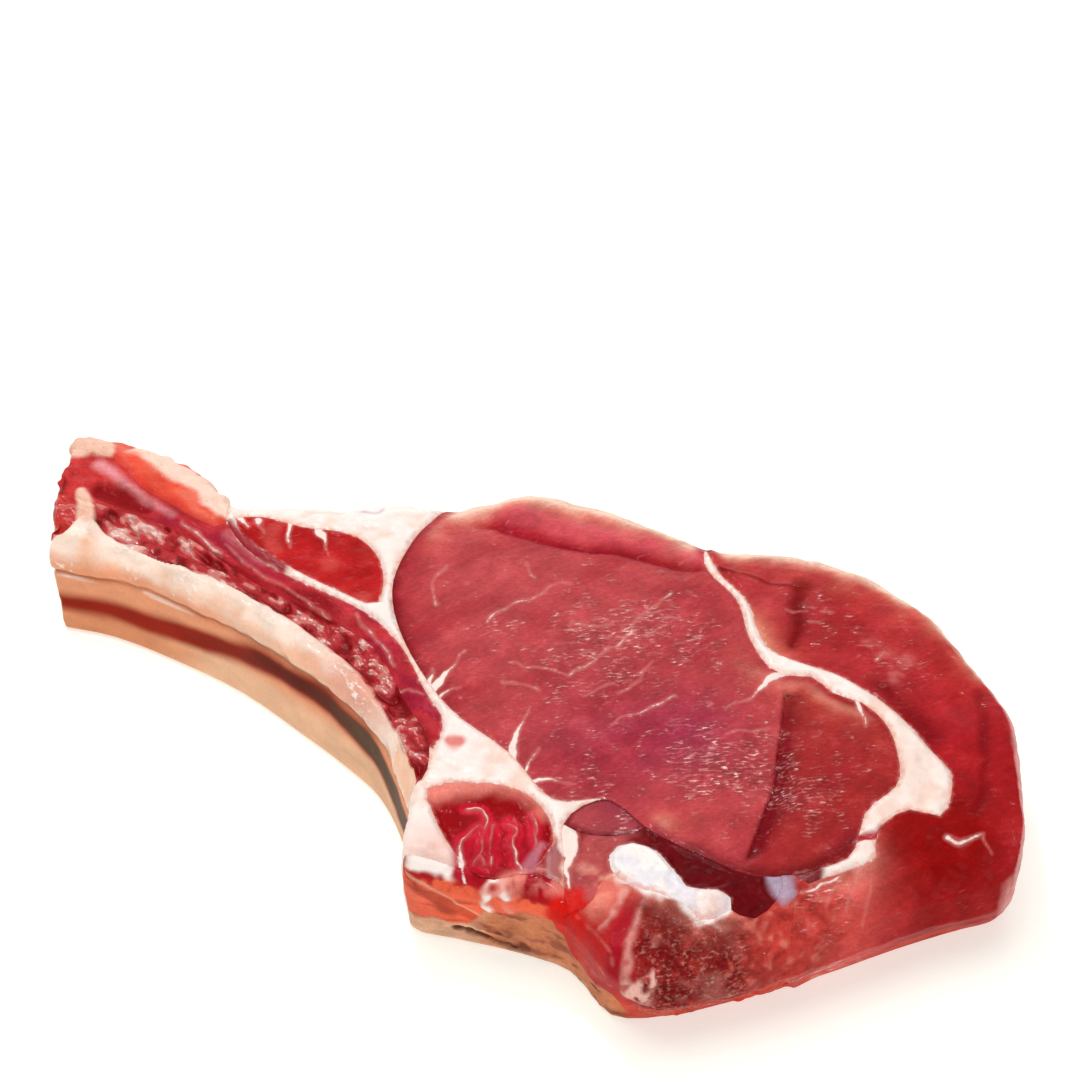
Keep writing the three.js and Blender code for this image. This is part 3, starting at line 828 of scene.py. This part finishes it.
# Flap muscle: the purple-red belly muscle beside the rib, in strips along it with pink membranes between,
# torn and dark at the tip.
FLAP_MEMBRANES = [
    ([(-69.8, 42.9), (-65.6, 39), (-61.2, 35.1)], 0.25, 0.35),
    ([(-60.5, 37), (-54.5, 31), (-50, 27), (-44, 22), (-38, 16)], 0.15, 0.2),
    ([(-32.5, 16), (-30.5, 12), (-27.5, 8), (-24, 2)], 0.15, 0.25),
    ([(-26.5, 0.5), (-23.5, -3.5), (-21, -4.5), (-18, -6)], 0.3, 0.15),
]
FLAP_SHEEN = [(-89, 60.5), (-84, 55.5), (-78.5, 50.5), (-72, 45)]
FLAP_PATCH = [(-60, 39.5), (-56, 35.5), (-52, 32)]
TIP_POCKET = [(-87.5, 52.5), (-83, 50.5), (-78.5, 48)]
TIP_END = [(-97.5, 49), (-96.5, 54), (-95, 59)]
FLAP_RED, FLAP_PLUM, FLAP_PINK, FLAP_DARK, TIP_DARK = "c23038", "a41e36", "f0a2a6", "8c0610", "780c0e"
flap = cut_out("flap_muscle")
points, facing, room = surface(flap, "flap_muscle")
x, y, z = points.T
along = turned(points, SHRED_LIE)
bent = wavy(points, 0.4, 3, 55)
membranes = strands(bent, FLAP_MEMBRANES)
post = strand(bent, TIP_POST, 1.0, 1.8)
knob = strand(bent, TIP_KNOB, 3.2, 3.0)
pocket = strand(bent, TIP_POCKET, 2.2, 2.2)
torn = strand(points, TIP_END, 1.6, 1.2)
tears = lumps(points, 1.8, 53)
relief = 0.4 * lumps(along, (6, 3, 4), 51) + 0.2 * lumps(points, 2, 52)
relief += 0.45 * ramp(membranes, -0.8, 0.3) - 1.2 * ramp(pocket, -1, 1.5) + 0.8 * ramp(post, -1, 0.8)
relief += ramp(torn, -1, 1) * 1.1 * tears + 0.5 * ramp(knob, -1, 2)
carve(flap, points, facing, room, relief)
strips = lumps(along, (12, 2.8, 6), 54)
coat = plain(points, FLAP_RED)
coat = over(coat, ramp(strips, -0.1, 0.6), FLAP_PLUM)
coat = over(coat, 0.7 * ramp(-strips, 0.2, 0.8), FLAP_DARK)
coat = over(coat, 0.8 * ramp(-x, 70, 82), TIP_RED)
coat = over(coat, 0.85 * ramp(pocket, -1.2, 1.0), FLAP_DARK)
coat = over(coat, 0.8 * stroke(bent, FLAP_SHEEN, 1.3, 0.3, 1.2), FLAP_PINK)
coat = over(coat, 0.25 * stroke(bent, FLAP_PATCH, 1.2, 1.0, 1.0), FLAP_PINK)
coat = over(coat, 0.9 * ramp(torn, -1, 1) * ramp(-tears, -0.2, 0.5), TIP_DARK)
coat = over(coat, ramp(post, -0.8, 0.5), KNOB_PALE)
coat = over(coat, ramp(knob, -0.8, 0.8), KNOB_PALE)
mark(flap, coat, wet=0.15 + 0.4 * ramp(torn, -1, 1), white=distance(flap, WHITE_PIECES),
     fat=membranes - 0.05, cut=NONE)
lay(flap, "flap_muscle", lean("flap lean", -0.75))

# Side muscle: a small muscle set in the fat on the outer side of the rib, bright red lean all through,
# with short prongs of the fat that reach into it from its far edge.
SIDE_PRONGS = [
    ([(-47, 43), (-47.5, 38), (-47, 35.5)], 0.9, 0.1),
    ([(-41.5, 42), (-40, 36.5), (-39, 33)], 1.0, 0.1),
    ([(-54, 44), (-53, 39.5)], 0.7, 0.1),
    ([(-60, 47), (-58, 44.5), (-56, 41.5)], 1.4, 0.4),
]
SIDE_RED, SIDE_DARK, SIDE_ROSE = "bc1a1c", "940608", "cc4640"
side_lean = cut_out("side_muscle")
points, facing, room = surface(side_lean, "side_muscle")
prongs = strands(wavy(points, 0.6, 2.5, 65), SIDE_PRONGS)
relief = 0.4 * lumps(points, 5, 61) + 0.25 * lumps(points, 2, 62) - 0.3
carve(side_lean, points, facing, room, relief)
coat = plain(points, SIDE_RED)
coat = over(coat, 0.5 * ramp(lumps(points, 6, 63), 0, 0.8), SIDE_DARK)
coat = over(coat, 0.8 * ramp(lumps(points, 5, 64), 0.1, 0.7), SIDE_ROSE)
mark(side_lean, coat, wet=0.25, white=distance(side_lean, WHITE_PIECES), fat=prongs, cut=NONE)
lay(side_lean, "side_muscle", lean("side lean", -0.3))

# Button muscle: a small flat oval muscle between the eye and the spine, muted rose lean.
# It lies loose in its seam, so a dark line of shadow runs round it.
BUTTON_ROSE, BUTTON_PLUM = "ae4248", "9a3444"
button = cut_out("button_muscle")
points, facing, room = surface(button, "button_muscle")
relief = 0.25 * lumps(points, 4, 71) + 0.1 * lumps(points, 1.6, 72) + 0.4
carve(button, points, facing, room, relief)
coat = over(plain(points, BUTTON_ROSE), ramp(lumps(points, 5, 73), -0.2, 0.6), BUTTON_PLUM)
coat = over(coat, 0.8 * (1 - ramp(room + 0.4 * lumps(points, 2, 74), 0.3, 1.6)), EYE_DARK_SHADE)
mark(button, coat, wet=0.1 + 1.0 * glow(points, (21, -41.5), 6), white=FAR_ROOM, fat=NONE, cut=0.35 - room)
lay(button, "button_muscle", lean("button lean", 0.0, 0.7))

# Chine muscle: a crimson muscle in the hollow of the spine, crossed by upright pale sheets of sinew
# that stand up a little from the cut.
CHINE_FINS = [
    ([(-9.1, -35.2), (-6.5, -36.2), (-5.6, -38), (-5.8, -40.5)], 0.3, 0.25),
    ([(-7, -39.4), (-10.0, -43), (-10.6, -46), (-9.8, -49)], 0.1, 0.45),
    ([(-10.6, -47), (-10.2, -49.5), (-9.0, -52.5)], 0.2, 0.5),
    ([(-6.2, -42.5), (-6.4, -46), (-7.8, -49)], 0.05, 0.15),
    ([(-6.5, -47), (-5.9, -49)], 0.05, 0.15),
    ([(-4.2, -39.5), (-4.3, -45)], 0.12, 0.05),
    ([(-4.4, -47.5), (-4.5, -49)], 0.25, 0.35),
    ([(-1.5, -38.9), (0.3, -40.5), (-0.4, -44.5), (0.2, -47), (1.3, -50.5)], 0.15, 0.4),
    ([(3, -36.9), (3.8, -39.5), (4.0, -44)], 0.08, 0.2),
]
CHINE_RIM = [(-16, -31.5), (-13, -30), (-8, -29), (-2.5, -29), (3, -30.5), (6, -35)]
CHINE_LAVENDER = [(5.2, -44), (3.4, -47.5), (2.6, -50)]
CHINE_FOOT = [(-2.5, -51.6), (1, -51.2), (4.5, -51.8), (8, -54)]
FOOT_PINK, CHINE_LOW = "f09080", "a40c1e"
CHINE_RED, CHINE_DARK, CHINE_PINK, CHINE_SALMON, CHINE_WEB = "cc122c", "980008", "d84c60", "fa9484", "c88698"


def chine_coat(points, fins):
    """Crimson lean that is deepest between the fins, pink beside them and salmon along its outer rim."""
    bent = wavy(points, 0.8, 2.5, 87)
    coat = over(plain(points, CHINE_RED), ramp(-fins + 0.8 * lumps(points, 2.5, 83), 0.8, 2.0), CHINE_DARK)
    for line, _, _ in CHINE_FINS:
        aside = strand(bent, line, 0, 0, sided=True)
        coat = over(coat, 0.42 * fading(aside, 0.8, 0.2), CHINE_PINK)
    coat = over(coat, 0.5 * ramp(-points[:, 1], 41, 47), CHINE_LOW)
    coat = over(coat, 0.6 * stroke(bent, CHINE_LAVENDER, 0.8, 1.4, 0.8), CHINE_WEB)
    foot = stroke(bent, CHINE_FOOT, 0.5, 1.2, 1.6) * ramp(lumps(points, (1.3, 2.6, 2), 88), -0.5, 0.3)
    coat = over(coat, 0.75 * foot, FOOT_PINK)
    return over(coat, 0.95 * ramp(strand(bent, CHINE_RIM, 0.5, 0.4), -4.5, 1.0), CHINE_SALMON)


chine_lean = finer(cut_out("chine_muscle"))
points, facing, room = surface(chine_lean, "chine_muscle")
fins = strands(wavy(points, 0.5, 2.5, 85), CHINE_FINS)
relief = 0.8 * ramp(fins, -0.6, 0.3) + 0.3 * lumps(points, 3, 81) + 0.2 * lumps(points, 1.3, 82) - 0.8
carve(chine_lean, points, facing, room, relief)
mark(chine_lean, chine_coat(points, fins), wet=0.3, white=distance(chine_lean, WHITE_PIECES),
     fat=fins - 0.06, cut=NONE)
lay(chine_lean, "chine_muscle", lean("chine lean", 1.4, 0.7))

# Cartilage: the white gristle at the head of the feather bone, in two smooth lobes joined by a neck.
# It is grown onto the bone, and is pink where lean lies against it.
FLANK = "e89c88"
GRISTLE_MIDDLE = [(16, -49.5), (22, -50.5), (28, -54.5), (34, -58.5), (40, -60.5)]
GRISTLE_WHITE, GRISTLE_BLUE_SHADE, GRISTLE_PINK, FAT_SPILL = "fdf4ee", "e8e2ea", "ec9c8a", "fdeee6"
gristle = finer(cut_out("cartilage"))
points, facing, room = surface(gristle, "cartilage")
relief = 0.5 * lumps(points, 3, 91) + 0.25 * lumps(points, 1.4, 92) + 0.6
carve(gristle, points, facing, room, relief)
# A bluish grey in the hollows between the gristle's lumps is painted shade.
coat = over(plain(points, GRISTLE_WHITE), 0.7 * ramp(lumps(points, 3, 91), 0.3, -0.5), GRISTLE_BLUE_SHADE)
coat = over(coat, 0.4 * glow(points, (36.5, -60), 3.5), FLANK)
upper = ramp(strand(points, GRISTLE_MIDDLE, 0, 0, sided=True) + lumps(points, 2, 93), -2.0, 0)
mark(gristle, coat, room=room + 4 * upper, cut=NONE)


def waxy(name, blush, reach, cracked):
    """Fat or gristle: a pale coat with faint clouds and fine cracks, blushed where lean lies against it."""
    constants = JUICE | {
        "Specular IOR Level": 0.3,
        "Subsurface Weight": 0.12,
        "Subsurface Radius": (1.0, 0.6, 0.45),
        "Subsurface Scale": 1.2 * MM,
    }
    material, sockets, place = fresh(name, constants)
    cloud = place.noise(3.2, detail=4)
    fine = place.noise(0.6, detail=3)
    wobble = place.noise(1.3) - 0.5
    colour = place.field("coat", "Color").shaded(1.02 + (cloud - 0.5) * 0.25 + (fine - 0.5) * 0.12)
    seam = 1 - (place.field("room") + wobble * reach * 2).ramp(0, reach)
    colour = (seam * 0.7).between(colour, paint(blush))
    crack = 1 - abs(place.noise(4.5, detail=3) - 0.5).ramp(0.002, 0.012)
    crack = crack * place.noise(7).ramp(0.58, 0.66) * cracked
    colour = crack.between(colour, paint(FAT_CRACK))
    # The cut field paints near-black shade into crevices.
    colour = (place.field("cut") + wobble * 0.6).ramp(0, 0.5).between(colour, paint(CREVICE_SHADE))
    finish(sockets, colour, 0.4 + (fine - 0.5) * 0.4, fine * 0.12 + cloud * 0.3 - crack * 0.2, cloud * 0.5)
    return material


FAT_CRACK = "c98a72"
lay(gristle, "cartilage", waxy("white gristle", GRISTLE_PINK, 1.8, 0.0))

# Deep muscle: the dark remains of muscle round the spine's head, rose-brown on one side of the gristle
# and maroon on the other, with a tag of white sinew and a scrap of clear membrane.
DEEP_SINEW = [
    ([(9.0, -40.3), (10.2, -43.8), (10.0, -47)], 2.0, 1.5),
    ([(10.0, -47), (9.8, -51), (10.0, -55)], 1.1, 0.3),
]
DEEP_SCRAP = [(49.2, -53.2), (49.8, -56)]
DEEP_FLANK = [(12.8, -50.5), (15.5, -51.5), (18.5, -53.5)]
DEEP_ROSE, DEEP_DARK, DEEP_MAROON, SCRAP, BLOB_RED = "b84e4e", "8c1a24", "66020a", "b49fb4", "d41810"
deep = finer(cut_out("deep_muscle"))
points, facing, room = surface(deep, "deep_muscle")
x, y, z = points.T
bent = wavy(points, 0.7, 2.5, 105)
sinew = strands(bent, DEEP_SINEW)
relief = 0.35 * lumps(points, 3.5, 101) + 0.25 * lumps(points, 1.5, 102) - 0.5 + 0.6 * ramp(sinew, -0.8, 0.6)
carve(deep, points, facing, room, relief)
coat = plain(points, DEEP_ROSE)
coat = over(coat, ramp(lumps(points, 4, 103), 0, 0.7), DEEP_DARK)
coat = over(coat, ramp(x + 2 * lumps(points, 3, 104), 19, 26), DEEP_MAROON)
coat = over(coat, 0.9 * stroke(bent, DEEP_SCRAP, 2.0, 2.0, 0.8), SCRAP)
spread = ramp(lumps(points, 1.5, 106), -0.6, 0.4)
coat = over(coat, 0.7 * stroke(bent, DEEP_FLANK, 1.2, 1.5, 1.8) * spread, FLANK)
coat = over(coat, 0.9 * ramp(-y + spread, 54.5, 56.5) * ramp(-x + spread, -14, -12), BLOB_RED)
mark(deep, coat, wet=0.2, white=distance(deep, WHITE_PIECES), fat=sinew, cut=NONE)
lay(deep, "deep_muscle", lean("deep lean", bloomed=0.02))

# Chine bone: the split spine and feather bone, sawn through, so that dark red spongy bone shows on the cut
# beside a crimson wedge between pale ribs of hard bone. Its inner wall is a tan plate, red and orange above.
HARD_RIBS = [
    ([(20.3, -56), (18, -61.3), (15.9, -64.5)], 0.9, 0.3),
    ([(24, -58.5), (22.2, -64), (20.9, -68), (20.3, -72)], 0.3, 0.8),
]
BONE_WEDGE = [(23, -57.5), (20.8, -62), (18.5, -67.5), (18.3, -71)]
BONE_PATCH = [(15.5, -51), (16.6, -55.5), (15.4, -60)]
BONE_TUFTS = [(20.8, -71.7), (23, -72.3), (25.5, -72.5)]
EDGE_SINEW = [(11.5, -60.5), (14.5, -64.5), (18, -69.5)]
RED_BLOB = [(8, -57.5), (10.5, -59.5), (12.5, -62.7)]
PALE_MASS = [(-5.2, -53.4), (-4, -52.6), (-2.4, -52.9), (-1.4, -53.6)]
SALMON_BED = [(-1.5, -52.8), (3, -52.2), (7, -53.4), (9.5, -55.5)]
GRANULES = [(3, -52.5), (6, -53.5), (8.5, -55)]
PLATE_PLACES = [-26, -14, -9, -6, 0, 7, 9, 11, 14, 18, 20, 24]
PLATE_HEIGHT = [8, 8, 9, 14.5, 17, 18, 15, 9, 9.5, 10.5, 7, 0]
WALL_EDGE = [(-20, 21.5), (-14, 19.5), (-8.5, 14.5), (-5.5, 11)]
WALL_STREAK = [(-18.5, 19), (-15, 16.5), (-13, 12.5)]
WALL_WEDGE = [(-13.5, 16.5), (-10, 13.5), (-6.5, 9.5)]
WALL_SLIT = [(-11, 6), (-5, 4.2), (0, 2.8)]
SPONGE_DARK, SPONGE_RED, SPONGE_SHEEN = "780808", "a82c26", "c87268"
SPONGE_NET, SPONGE_PALE = "d88c7e", "f2bcae"
PLATE_TAN, PLATE_OLIVE, PLATE_BROWN, PLATE_PALE = "d08058", "a0543c", "6c2010", "e6b494"
RIM_RED, BONE_SALMON, BONE_CRIMSON, WEDGE_RED = "d23c24", "ee8876", "ba2424", "ac1022"
FRONT_ORANGE, FRONT_DARK, WALL_ORANGE = "f06646", "a02c14", "d04626"
SLIT_SHADE, HARD_PINK = "54140a", "f0b0a4"
spine = cut_out("chine_bone")
points, facing, room = surface(spine, "chine_bone")
x, y, z = points.T
bent = wavy(points, 1.0, 3, 119)
wall = wavy(points[:, [0, 2, 1]], 0.7, 2.5, 123)
hard = strands(wavy(points, 0.5, 2, 117), HARD_RIBS)
fins = strands(wavy(points, 0.5, 2.5, 85), CHINE_FINS)
near = distance(spine, ["cartilage"]) + 1.2 * lumps(points, 2, 124)
pits = 0.6 * lumps(points, 2.2, 111) + 0.7 * lumps(points, 1.1, 112)
below = np.interp(x, PLATE_PLACES, PLATE_HEIGHT) - z + 1.2 * lumps(points, 4, 113)
plate = ramp(below, -1.0, 1.0) * ramp(-x, -23, -19)
slit = strand(wall, WALL_SLIT, 0.9, 1.3)
grain = lumps(points, (9, 9, 1.6), 114)
sponge = ramp(x + 2 * lumps(points, 3, 116), 20, 25) * (1 - plate)
front = ramp(-x, -9, -5) * (1 - plate)
tufts = strand(bent, BONE_TUFTS, 0.8, 0.8) + 0.9 * lumps(points, 1.2, 125)
tufts = ramp(tufts, 0, 0.8) * ramp(z, 13, 16)
knots = lumps(points, 1.7, 122)
mass = ramp(strand(bent, PALE_MASS, 0.8, 0.7) + 0.6 * knots, -0.5, 0.6) * front
relief = 0.4 * lumps(points, 5, 115) + 0.5 * pits * sponge + 0.4 * ramp(hard, -0.8, 0.6) + 0.5 * tufts
relief -= 1.0 * ramp(slit, -0.4, 0.8) - 0.3 * grain * plate - 0.4 * pits * plate - 0.6 * mass
carve(spine, points, facing, room, relief, 1 - glow(points, (51, -57), 9))
coat = plain(points, BONE_CRIMSON)
coat = over(coat, sponge, SPONGE_DARK)
coat = over(coat, sponge * ramp(pits, -0.2, 0.9), SPONGE_RED)
# Pale pink patches over the spongy bone are a painted sheen.
coat = over(coat, 0.5 * sponge * ramp(lumps(points, 3, 127), 0.1, 0.8), SPONGE_SHEEN)
coat = grown_together(coat, points, ramp(x + 3 * pits, 38, 48))
spread = ramp(lumps(points, 1.5, 106), -0.6, 0.4)
coat = over(coat, stroke(bent, BONE_PATCH, 2.6, 2.0, 2.4) * (0.5 + 0.5 * spread), BONE_SALMON)
coat = over(coat, stroke(bent, BONE_WEDGE, 0.8, 1.6, 0.8) * ramp(z, 12, 15), WEDGE_RED)
coat = over(coat, 0.6 * ramp(hard, -0.6, 0.6) * ramp(z, 12, 15) * (0.4 + 0.6 * spread), HARD_PINK)
coat = over(coat, 0.9 * ramp(-z, -13, -8) * ramp(x, 17, 20), RIM_RED)
coat = over(coat, 0.9 * tufts, SPONGE_PALE)
coat = over(coat, 0.8 * np.exp(-near / 1.8) * ramp(z, 18, 22), FLANK)
coat = over(coat, 0.9 * ramp(-near, -1.8, -0.2) * ramp(z, 18, 22), GRISTLE_WHITE)
coat = coat + (chine_coat(points, fins) - coat) * (front * ramp(z, 21.5, 23.5))[:, None]
coat = over(coat, front * ramp(-z + 2 * knots, -22.5, -21), FRONT_ORANGE)
bed = stroke(bent, SALMON_BED, 1.4, 1.4, 1.6) * ramp(lumps(points, (1.3, 2.6, 2), 88), -0.7, 0.1)
coat = over(coat, 0.9 * bed * ramp(z, 15.5, 19), FOOT_PINK)
coat = over(coat, mass, HARD_PINK)
coat = over(coat, ramp(mass * (0.6 + 0.5 * knots), 0.35, 0.7), FAT_SPILL)
spill = front * ramp(z + 0.5 * knots, 22.4, 23.4)
spill = spill * ramp(-x + knots, 11, 13) * ramp(x + knots, -21.5, -18.5)
coat = over(coat, spill, FAT_SPILL)
streaks = ramp(lumps(points, (6, 6, 1.2), 126), 0.1, 0.7) * ramp(-z, -21, -18)
coat = over(coat, 0.6 * front * streaks, FRONT_DARK)
coat = over(coat, 0.8 * stroke(wall, WALL_STREAK, 1.4, 2.0, 1.2) * front, FRONT_DARK)
coat = over(coat, 0.9 * stroke(wall, WALL_WEDGE, 1.6, 1.4, 1.0) * front, WALL_ORANGE)
coat = over(coat, 0.8 * stroke(wall, WALL_EDGE, 0.25, 0.3, 0.3) * front, PLATE_PALE)
coat = over(coat, 0.35 * stroke(bent, GRANULES, 1.4, 1.2, 1.4) * ramp(z, 19, 22), CHINE_RED)
coat = over(coat, stroke(bent, RED_BLOB, 1.8, 0.8, 1.2) * (1 - plate), BLOB_RED)
coat = over(coat, 0.35 * stroke(bent, EDGE_SINEW, 0.0, 0.15, 0.5) * (1 - plate) * spread, HARD_PINK)
tan = over(plain(points, PLATE_TAN), ramp(grain + 0.7 * pits, -0.1, 0.7), PLATE_OLIVE)
tan = over(tan, 0.8 * ramp(grain * 0.5 + lumps(points, 2.6, 118), 0.3, 0.8), PLATE_BROWN)
tan = over(tan, 0.8 * ramp(-x - 2 * grain, 4, 9), PLATE_PALE)
tan = over(tan, 0.6 * ramp(-z + pits, -3.5, -1.5), PLATE_PALE)
# The slit in the plate is painted near-black, painted shade.
tan = over(tan, 0.9 * ramp(slit + 0.5 * pits, -0.4, 0.6), SLIT_SHADE)
coat = coat + (tan - coat) * plate[:, None]
coat = over(coat, 0.7 * stroke(bent, DEEP_FLANK, 1.2, 1.5, 1.8) * spread * ramp(z, 20, 23), FLANK)
coat = over(coat, 0.9 * stroke(bent, DEEP_SCRAP, 2.0, 2.0, 0.8), SCRAP)
net = sponge * ramp(-y + 2 * pits, 58, 68) * ramp(-x - 2 * pits, -46, -38) * (1 - tufts)
wet = 0.2 + 0.35 * sponge + 0.6 * stroke(points, GRANULES, 2, 2, 1) - 0.5 * plate - spill
mark(spine, coat, net=net, wet=wet, calm=np.maximum(spill, 0.8 * mass),
     fat=np.where(front * ramp(z, 22, 23) > 0.5, fins - 0.1, NONE))


def sawn_bone(name):
    """Sawn spine: its coat mottled, with a fine pink net of bone over the spongy part and wet glints."""
    material, sockets, place = fresh(name, WET_LEAN)
    fine = place.noise(0.5, detail=3)
    patch = place.noise(6, detail=5)
    net = place.noise(0.65, (1.6, 1, 1), 0.3, 4.0).ramp(0.48, 0.64) * place.noise(2.6).ramp(0.3, 0.62)
    cluster = (place.noise(3.2, detail=3) + place.field("wet") * 0.5).ramp(0.8, 1.1)
    spark = place.noise(0.55, (2.2, 1, 1), 0.4)
    mottle = (patch - 0.5) * 0.9 + (fine - 0.5) * (place.field("net") * 0.8 + 0.5)
    colour = place.field("coat", "Color").shaded(1 + mottle * (1 - place.field("calm") * 0.85))
    colour = (net * place.field("net") * 0.6).between(colour, paint(SPONGE_NET))
    fat = place.field("fat") + (place.noise(1.6) - 0.5) * 0.6
    colour = fat.ramp(0.02, 0.35).between(colour, paint(PRONG))
    colour = (spark.ramp(0.62, 0.68) * cluster * 0.8).between(colour, paint(GLINT))
    height = fine * 0.2 + net * place.field("net") * 0.2 + spark * cluster * 0.4
    finish(sockets, colour, 0.55 - cluster * 0.3, height, 0.08 + cluster * 0.5)
    return material


lay(spine, "chine_bone", sawn_bone("sawn spine"))

# Side fat and cap fat: ivory fat that fills the seams between the muscles, soft and lumpy,
# pink where lean lies under it, with a few stains.
FAT_WHITE, FAT_CREAM_AND_SHADE, FAT_PINK, FAT_STAIN, FAT_VEIN = "fdece4", "f6d4c4", "f0a084", "e27e76", "c89ab0"
FAT_STAINS = [
    ([(-12.5, -19), (-10.5, -19)], 1.3, 1.3),
    ([(71.5, -26), (72.5, -27)], 0.5, 0.5),
]
FAT_VEINS = [([(-33, 46), (-30.5, 45), (-28, 46.5)], 0.7, 0.4)]
MEMBRANE_RED, BAND_RED = "9e1a28", "a23a3e"
FAT_MEMBRANE = [(-62, 41.5), (-58, 38), (-53, 34), (-48.5, 30)]
FAT_GAP = [(62, -44), (66, -43.2), (70.5, -41.2)]
FAT_CREVICE = [(51, -52), (55, -51.5), (60, -49), (64, -45.5)]
FAT_HOLLOW_SHADE = [(47.5, -53), (51, -53), (55, -52.4)]
for name, seed in (("side_fat", 121), ("cap_fat", 131)):
    fat = cut_out(name)
    points, facing, room = surface(fat, name)
    x, y, z = points.T
    bent = wavy(points, 0.7, 2.5, seed + 3)
    bumps = 0.45 * lumps(points, 4.5, seed) + 0.35 * lumps(points, 2, seed + 1)
    gap = stroke(bent, FAT_GAP, 0.4, 1.3, 0.5)
    carve(fat, points, facing, room, bumps + 0.4 - 1.2 * gap)
    # A darker cream in the hollows between the fat's lumps is painted shade; the cream spot by the cap is
    # the fat's own tint.
    coat = over(plain(points, FAT_WHITE), ramp(-bumps, -0.1, 0.5), FAT_CREAM_AND_SHADE)
    coat = over(coat, 0.8 * glow(points, (72, -24), 9), FAT_CREAM_AND_SHADE)
    coat = over(coat, 0.5 * glow(points, (-15, -47), 7), FLANK)
    coat = over(coat, ramp(strands(bent, FAT_STAINS), -0.7, 0.7), FAT_STAIN)
    coat = over(coat, 0.8 * ramp(strands(bent, FAT_VEINS), -0.6, 0.6), FAT_VEIN)
    film = stroke(bent, FAT_MEMBRANE, 2.4, 1.8, 1.0)
    coat = over(coat, film, MEMBRANE_RED)
    coat = over(coat, gap, CAP_BACK)
    # The hollow under the eye's lower edge is painted dark red, painted shade.
    flush = stroke(bent, FAT_HOLLOW_SHADE, 3.0, 2.6, 0.8)
    coat = over(coat, flush, CAP_DARK_AND_SHADE)
    under = ramp(-y, 44, 46.5) * ramp(x, -12.5, -10.5) * ramp(-x, -7.5, -5.5)
    fins = strands(wavy(points, 0.5, 2.5, 85), CHINE_FINS)
    under_coat = over(chine_coat(points, fins), ramp(fins, -0.1, 0.25), PRONG)
    coat = coat + (under_coat - coat) * under[:, None]
    band = ramp(x + 0.8 * bumps, 5.5, 7) * ramp(-y, 41, 43.5) * (x < 20)
    band = band * (1 - ramp(strands(wavy(points, 0.7, 2.5, 105), DEEP_SINEW), -0.4, 0.4))
    coat = over(coat, 0.9 * band, BAND_RED)
    skirted = ramp(-x, 9, 12) * ramp(-y, 44, 47)
    plain_red = under + skirted + film + gap + flush
    # Its cut field paints near-black shade into the crevice beside the eye's lower edge.
    mark(fat, coat, room=room + 3 * plain_red, cut=strand(bent, FAT_CREVICE, 0.35, 0.2))
    lay(fat, name, waxy(name.replace("_", " "), FAT_PINK, 1.1, 0.12))
bpy.data.objects.remove(skin)

# Floor and light: a white floor with a faint glow of its own, under a wide soft lamp overhead,
# weaker ones in front and behind, and a small bright lamp that glints on the wet lean.
FLOOR_SIZE = 3
FLOOR_WHITE = (0.57, 0.6, 0.55, 1)
FLOOR_GLOW = 0.58
FLOOR_WARM = (1, 0.98, 0.92, 1)
SKY_GLOW = 0.35
LAMPS = (
    ("overhead lamp", (-0.2, -0.1, 1.3), 0.8, 8.6),
    ("front lamp", (0.5, -1.1, 0.9), 0.7, 3.2),
    ("back lamp", (0.0, 1.25, 0.28), 0.8, 3.5),
    ("glint lamp", (-0.25, 0.35, 1.2), 0.07, 2.6),
)
floor = new_object("floor", bpy.data.meshes.new("floor"))
ground = bmesh.new()
bmesh.ops.create_grid(ground, x_segments=1, y_segments=1, size=FLOOR_SIZE)
ground.to_mesh(floor.data)
ground.free()
floor_finish = {
    "Specular IOR Level": 0.0,
    "Base Color": FLOOR_WHITE,
    "Emission Color": FLOOR_WARM,
    "Emission Strength": FLOOR_GLOW,
}
material, sockets, place = fresh("white floor", floor_finish)
(place.noise(40) * 0.1 + 0.6).into(sockets["Roughness"])
floor.data.materials.append(material)
world = bpy.data.worlds.new("studio")
bpy.context.scene.world = world
world.use_nodes = True
world.node_tree.nodes["Background"].inputs["Color"].default_value = (1, 1, 1, 1)
world.node_tree.nodes["Background"].inputs["Strength"].default_value = SKY_GLOW
for name, at, size, power in LAMPS:
    lamp = bpy.data.objects.new(name, bpy.data.lights.new(name, "AREA"))
    bpy.context.scene.collection.objects.link(lamp)
    lamp.data.size = size
    lamp.data.energy = power
    lamp.location = at
    lamp.rotation_euler = (-Vector(at)).to_track_quat("-Z", "Y").to_euler()

# Camera: a long lens that looks down on the chop at 44 degrees, from so far off that there is little
# perspective. Its place is in millimetres, and its focus in pixels of the picture.
CAMERA_AT = (4.645, -407.8, 459.3)
CAMERA_DOWN = 44.3476
FOCUS_PIXELS = 3000
PICTURE_PIXELS = 1087
SENSOR = 36
camera = bpy.data.objects.new("camera", bpy.data.cameras.new("camera"))
bpy.context.scene.collection.objects.link(camera)
camera.data.sensor_width = SENSOR
camera.data.lens = SENSOR * (FOCUS_PIXELS / PICTURE_PIXELS)
camera.location = Vector(CAMERA_AT) * MM
camera.rotation_euler = (np.radians(90 - CAMERA_DOWN), 0, 0)
bpy.context.scene.camera = camera
bpy.context.scene.view_settings.view_transform = "Standard"
